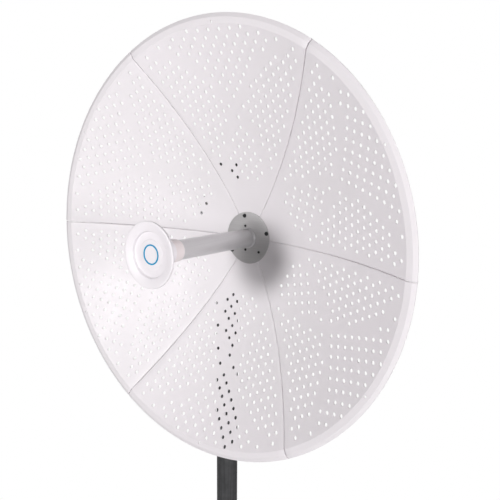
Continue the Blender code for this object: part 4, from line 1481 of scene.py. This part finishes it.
    def block(self) -> None:
        """The machined block behind the hub, closed by four cap screws."""
        fit("waveguide_block_machined", softened("waveguide_block", 0.0008), Surface.CAST_ALUMINIUM,
            Body.FEED,
            Slot.ALUMINIUM, ["waveguide_block"])
        span = self.datum.span("waveguide_block")
        reach = 0.0172
        screw = turned("cap_screw", [(0.0, 0.0012), (0.0012, 0.0012), (0.0015, 0.0030, 0.0002),
                                     (0.0024, 0.0030, 0.0004),
                                     (0.0026, 0.0, 0.0001), (0.0, 0.0)], 24)
        back = self.datum.matrix @ Matrix.Translation((0, 0, span.low)) @ HALF_TURN
        places = [back @ Matrix.Translation((x, y, -0.0001))
                  for x in (-reach, reach) for y in (-reach, reach)]
        mesh = repeated("block_screws", screw, places, Surface.BLACK_OXIDE)
        fit("block_screws", mesh, Surface.BLACK_OXIDE, Body.FEED, Slot.DARK_BOLT)

    def ports(self) -> None:
        """Two threaded coaxial ports with hexagon bases and centre contacts."""
        outward = self.datum.matrix.to_3x3() @ Vector((0, 0, -1))
        thread = grown("port_thread", thread_tree(), {
            "Radius": 0.0078, "Length": 0.0125, "Pitch": 0.00106, "Depth": 0.0005, "Sides": 40, "Rows": 59,
            "Material": Surface.NICKEL.material()})
        thread.shade_smooth()
        for number in (1, 2):
            node = f"radio_port_{number}"
            place, length = seated(node, outward)
            base = HexFastener(0.0126).head(0.0042)
            bore = turned("bore", [(0.0055, 0.001), (0.0055, -0.009), (0.0, -0.009), (0.0, 0.001)][::-1], 32)
            barrel = bored(turned("barrel", [(0.0, 0.0), (0.0071, 0.0, 0.0004), (0.0071, -length + 0.0004),
                                             (0.0, -length + 0.0004)], 48), [(bore, Matrix.Identity(4))])
            pin = turned("pin", [(0.0, -0.0015), (0.0009, -0.0022, 0.0006), (0.0009, -0.0095),
                                 (0.0, -0.0095)], 16)
            mesh = merged(node, [
                (barrel, Matrix.Identity(4)), (pin, Matrix.Identity(4)),
                (thread, Matrix.Translation((0, 0, -0.0016))),
                (base, Matrix.Translation((0, 0, -length + 0.0004)))])
            fit(node + "_coaxial", mesh, Surface.NICKEL, Body.FEED, Slot.BRASS, [node], place)

    def build(self) -> None:
        """Makes the feed's pieces."""
        self.tube()
        self.collar()
        self.rear_cover()
        self.front_cover()
        self.ring()
        self.inside()
        self.block()
        self.ports()


# ---------------------------------------------------------------- mast
@dataclass
class Mast:
    """The pole, its cap and its foot plug."""

    datum: Datum = field(default_factory=lambda: Datum(Matrix.Identity(4)))

    def build(self) -> None:
        """Makes the mast's pieces."""
        tube = self.datum.span("mast_tube")
        wall = [(tube.outer, tube.high, 0.0006), (tube.outer, tube.low, 0.0006), (tube.inner, tube.low),
                (tube.inner, tube.high)]
        fit("mast_tube_drawn", turned("mast_tube", wall, 128), Surface.MAST_STEEL, Body.MAST, Slot.GALVANISED,
            ["mast_tube"])
        cap = self.datum.span("mast_cap")
        crown = cap.high - tube.high
        shell = [(0.0, cap.high), (cap.outer * 0.6, cap.high - 0.0004, 0.01),
                 (cap.outer, cap.high - 0.0008, 0.0024),
                 (cap.outer, cap.low, 0.0005), (tube.outer + 0.0003, cap.low),
                 (tube.outer + 0.0003, cap.high - crown),
                 (0.0, cap.high - crown + 0.0003)]
        fit("mast_cap_moulded", turned("mast_cap", shell, 96), Surface.BLACK_NYLON, Body.MAST,
            Slot.BLACK_PLASTIC,
            ["mast_cap"])
        plug = self.datum.span("mast_foot_plug")
        spigot = tube.inner - 0.0003
        foot = [(0.0, plug.high), (spigot - 0.0015, plug.high, 0.001), (spigot, plug.high - 0.0015, 0.001),
                (spigot, tube.low - 0.0003), (tube.outer, tube.low - 0.0003, 0.0005),
                (tube.outer, plug.low, 0.0012),
                (0.0, plug.low)]
        fit("mast_foot_plug_moulded", turned("mast_foot_plug", foot, 96), Surface.BLACK_NYLON, Body.MAST,
            Slot.BLACK_PLASTIC, ["mast_foot_plug"])


# ---------------------------------------------------------------- mount
@dataclass
class Mount:
    """The clamps on the pole, the two tilting brackets, and the rod that sets the tilt."""

    pin: Vector
    swivel: Vector

    def plates(self) -> None:
        """Folded and pressed steel, with eased edges."""
        for node in ("pole_bracket", "upper_saddle", "lower_saddle", "upper_jaw", "lower_jaw"):
            fit(node + "_pressed", softened(node), Surface.GALVANISED_PLATE, Body.POLE_MOUNT, Slot.ZINC,
                [node])
        fit("elevation_bracket_pressed", softened("elevation_bracket"), Surface.GALVANISED_PLATE, Body.DISH,
            Slot.ZINC, ["elevation_bracket"])

    def bolts(self, nodes: Sequence[str], outward: Sequence[Vector], size: float, body: Body, plain: float,
              name: str) -> None:
        """Remakes bolts that share one size.

        Args:
            nodes: Their frame nodes.
            outward: Where each head looks.
            size: The thread's size.
            body: The body that carries them.
            plain: The plain part of each shank.
            name: The piece's name.
        """
        seats = [seated(node, way) for node, way in zip(nodes, outward)]
        fastener = HexFastener(size, size * 0.15)
        bolt = fastener.bolt(size * 0.65, seats[0][1], plain)
        mesh = repeated(name, bolt, [place for place, _ in seats], Surface.ZINC_PLATED)
        fit(name, mesh, Surface.ZINC_PLATED, body, Slot.ZINC, nodes)

    def nuts(self, nodes: Sequence[str], outward: Sequence[Vector], size: float, body: Body,
             name: str) -> None:
        """Remakes nuts that share one size, each with a washer.

        Args:
            nodes: Their frame nodes.
            outward: Where each outer face looks.
            size: The thread's size.
            body: The body that carries them.
            name: The piece's name.
        """
        seats = [seated(node, way) for node, way in zip(nodes, outward)]
        nut = HexFastener(size, size * 0.15).nut_with_washer(seats[0][1])
        mesh = repeated(name, nut, [place for place, _ in seats], Surface.ZINC_PLATED)
        fit(name, mesh, Surface.ZINC_PLATED, body, Slot.ZINC, nodes)

    def fasteners(self) -> None:
        """Every bolt and nut of the mount."""
        left, right = Vector((-1, 0, 0)), Vector((1, 0, 0))
        front, back = Vector((0, -1, 0)), Vector((0, 1, 0))
        numbers = range(1, 5)
        self.bolts([f"clamp_bolt_{n}" for n in numbers], [front] * 4, 0.010, Body.POLE_MOUNT, 0.030,
                   "clamp_bolts")
        self.nuts([f"clamp_nut_{n}" for n in numbers], [back] * 4, 0.010, Body.POLE_MOUNT, "clamp_nuts")
        self.bolts(["pivot_bolt_left", "pivot_bolt_right"], [left, right], 0.010, Body.POLE_MOUNT, 0.008,
                   "pivot_bolts")
        self.nuts(["pivot_nut_left", "pivot_nut_right"], [right, left], 0.010, Body.POLE_MOUNT, "pivot_nuts")
        self.bolts(["lock_bolt_left", "lock_bolt_right"], [left, right], 0.008, Body.DISH, 0.008,
                   "lock_bolts")
        self.nuts(["lock_nut_left", "lock_nut_right"], [right, left], 0.008, Body.DISH, "lock_nuts")
        self.bolts(["rod_pin"], [right], 0.008, Body.DISH, 0.019, "rod_pin_bolt")

    def rod(self) -> None:
        """The threaded eye rod, its swivel and its two nuts."""
        direction = (self.swivel - self.pin).normalized()
        datum = along(self.pin, direction)
        span = datum.span("elevation_rod")
        size, eye, hole, half = 0.010, 0.009, 0.0043, 0.005
        across = along(self.pin, Vector((1, 0, 0))).matrix
        ring = turned("rod_eye", [(eye, half, 0.0012), (eye, -half, 0.0012), (hole, -half, 0.0004),
                                  (hole, half, 0.0004)], 64)
        neck = turned("rod_neck", [(0.0, 0.0), (size * 0.42, 0.0), (size * 0.5, 0.004, 0.002),
                                   (size * 0.5, 0.012, 0.001),
                                   (0.0, 0.012)], 32)
        fastener = HexFastener(size)
        start = 0.0162
        shank = fastener.shank(span.high - start, 0.0)
        rod = merged("elevation_rod", [
            (ring, across), (neck, datum.matrix @ Matrix.Translation((0, 0, eye - 0.0045))),
            (shank, datum.matrix @ Matrix.Translation((0, 0, start)) @ HALF_TURN)])
        fit("elevation_rod_threaded", rod, Surface.ZINC_PLATED, Body.TILT_ROD, Slot.ZINC, ["elevation_rod"])
        trunnion = along(self.swivel, Vector((1, 0, 0)))
        reach = trunnion.span("rod_swivel")
        body = reach.high - 0.0043
        profile = [(0.0, reach.high), (0.004, reach.high, 0.0008), (0.004, body, 0.0002),
                   (reach.outer, body, 0.0012),
                   (reach.outer, -body, 0.0012), (0.004, -body, 0.0002), (0.004, -reach.high, 0.0008),
                   (0.0, -reach.high)]
        drill = turned("drill", [(0.0, 0.03), (0.0056, 0.03), (0.0056, -0.03), (0.0, -0.03)], 48)
        swivel = bored(turned("rod_swivel", profile, 96),
                       [(drill, trunnion.matrix.inverted() @ along(self.swivel, direction).matrix)])
        fit("rod_swivel_turned", swivel, Surface.ZINC_PLATED, Body.TILT_SWIVEL, Slot.ZINC, ["rod_swivel"],
            trunnion.matrix)
        for node, way in (("rod_nut_front", -direction), ("rod_nut_rear", direction)):
            place, height = seated(node, way)
            nut = fastener.nut(height)
            nut.transform(Matrix.Translation((0, 0, -height)))
            fit(node + "_hex", nut, Surface.ZINC_PLATED, Body.TILT_SWIVEL, Slot.ZINC, [node], place)

    def build(self) -> None:
        """Makes the mount's pieces."""
        self.plates()
        self.fasteners()
        self.rod()


# ---------------------------------------------------------------- studio
@dataclass(frozen=True)
class Lamp:
    """A square soft light: where it hangs from the bowl's vertex, its width and its power in watts."""

    name: str
    offset: tuple[float, float, float]
    size: float
    power: float


@dataclass
class Studio:
    """A white floor, soft light and the camera."""

    vertex: Vector
    azimuth: float = 36.623
    elevation: float = 12.738
    roll: float = 0.547
    distance: float = 1.39775
    aim: tuple[float, float, float] = (0.0032, 0.0, -0.02816)
    lens: float = 44.32
    floor_size: float = 60.0
    ambient: float = 0.045
    horizon: float = 0.05
    lamps: tuple[Lamp, ...] = (
        Lamp("key", (2.6, -1.1, 0.3), 1.2, 25.0),
        Lamp("front", (-0.27, -2.4, 0.42), 0.40, 31.5),
        Lamp("front_left", (-0.5, -2.4, 0.2), 0.45, 6.0),
        Lamp("side", (2.3, -0.45, 0.3), 1.2, 15.0),
        Lamp("back_left", (-2.0, 1.7, 0.3), 1.2, 30.0),
        Lamp("back_right", (1.0, 2.6, 1.3), 1.0, 16.0))

    def camera(self) -> None:
        """Looks at the bowl from its right side and a little above."""
        azimuth, elevation = math.radians(self.azimuth), math.radians(self.elevation)
        back = Vector((math.sin(azimuth) * math.cos(elevation), -math.cos(azimuth) * math.cos(elevation),
                       math.sin(elevation)))
        level = Vector((math.cos(azimuth), math.sin(azimuth), 0))
        upright = back.cross(level)
        roll = math.radians(self.roll)
        right = level * math.cos(roll) + upright * math.sin(roll)
        up = upright * math.cos(roll) - level * math.sin(roll)
        data = bpy.data.cameras.new("camera")
        data.sensor_width = 36.0
        data.lens = self.lens
        data.clip_end = 200.0
        camera = linked("camera", data)
        camera.matrix_world = Matrix.Translation(self.vertex + Vector(self.aim) + back * self.distance) @ Matrix(
            (right, up, back)).transposed().to_4x4()
        bpy.context.scene.camera = camera

    def world(self) -> None:
        """Pure white behind the object, and a softer white light on it."""
        world = bpy.data.worlds.new("white_room")
        bpy.context.scene.world = world
        world.use_nodes = True
        graph = Graph(world.node_tree)
        shader = world.node_tree.nodes["Background"]
        seen = graph.node("ShaderNodeLightPath").outputs["Is Camera Ray"]
        height = graph.split(graph.node("ShaderNodeTexCoord").outputs["Generated"])[2]
        level = graph.minus(1.0, graph.math("ABSOLUTE", height))
        band = graph.times(graph.math("POWER", level, 3.0), self.horizon)
        light = graph.plus(band, self.ambient)
        graph.feed(shader.inputs["Strength"], graph.ramp(seen, 0.0, 1.0, light, 1.0))
        shader.inputs["Color"].default_value = (1.0, 1.0, 1.0, 1.0)
        scene = bpy.context.scene
        scene.view_settings.view_transform = "Standard"
        scene.view_settings.look = "None"

    def floor(self) -> None:
        """A wide pale floor, seen as white."""
        shape = bmesh.new()
        bmesh.ops.create_grid(shape, x_segments=1, y_segments=1, size=self.floor_size / 2)
        mesh = bpy.data.meshes.new("floor")
        shape.to_mesh(mesh)
        shape.free()
        floor = linked("floor", mesh)
        material = bpy.data.materials.new("floor")
        material.use_nodes = True
        graph = Graph(material.node_tree)
        output = material.node_tree.nodes["Material Output"]
        material.node_tree.nodes.remove(material.node_tree.nodes["Principled BSDF"])
        matt = graph.node("ShaderNodeBsdfDiffuse", {"Color": (0.62, 0.62, 0.62, 1.0)})
        white = graph.node("ShaderNodeEmission", {"Strength": 1.0})
        seen = graph.node("ShaderNodeLightPath").outputs["Is Camera Ray"]
        both = graph.node("ShaderNodeMixShader", {0: seen, 1: matt.outputs[0], 2: white.outputs[0]})
        graph.feed(output.inputs["Surface"], both.outputs[0])
        mesh.materials.append(material)
        floor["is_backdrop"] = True

    def hang(self, lamp: Lamp) -> None:
        """Adds a square soft light that looks at the bowl.

        Args:
            lamp: Its size, place and power.
        """
        data = bpy.data.lights.new(lamp.name, "AREA")
        data.size = lamp.size
        data.energy = lamp.power
        light = linked(lamp.name, data)
        light.location = self.vertex + Vector(lamp.offset)
        light.rotation_euler = Vector(lamp.offset).to_track_quat("Z", "Y").to_euler()

    def build(self) -> None:
        """Sets the room up."""
        self.camera()
        self.world()
        self.floor()
        for lamp in self.lamps:
            self.hang(lamp)


# ---------------------------------------------------------------- assembly
def joint_of(frame: dict[str, Any], name: str) -> tuple[Vector, Vector]:
    """A joint's place and axis at rest.

    Args:
        name: The joint's name.

    Returns:
        Its position and its axis.
    """
    found = next(joint for joint in frame["joints"] if joint["name"] == name)
    return Vector(found["pos_m"]), Vector(found["axis"]).normalized()


def upright_datum(point: Vector, forward: Vector) -> Datum:
    """A frame that looks forward along Z with X level to the right."""
    right = Vector((1, 0, 0))
    up = forward.cross(right).normalized()
    return Datum(Matrix.Translation(point) @ Matrix((right, up, forward)).transposed().to_4x4())


def main() -> None:
    """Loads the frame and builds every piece."""
    logging.basicConfig(level=logging.INFO, format="%(message)s")
    for thing in list(bpy.data.objects):
        bpy.data.objects.remove(thing)
    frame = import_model()
    packed_box = [list(corner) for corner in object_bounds()]
    vertex, boresight = joint_of(frame, "polarisation")
    dish = upright_datum(vertex, boresight)
    Studio(vertex).build()
    Reflector(dish).build()
    Hub(dish).build()
    Feed(dish).build()
    Mast().build()
    Mount(joint_of(frame, "rod_pivot")[0], joint_of(frame, "swivel_turn")[0]).build()
    bpy.context.view_layer.update()
    sizes = {"frame": packed_box, "finished": [list(corner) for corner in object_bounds()]}
    LOG.info("frame box %s, finished box %s", sizes["frame"], sizes["finished"])


if __name__ == "__main__":
    main()
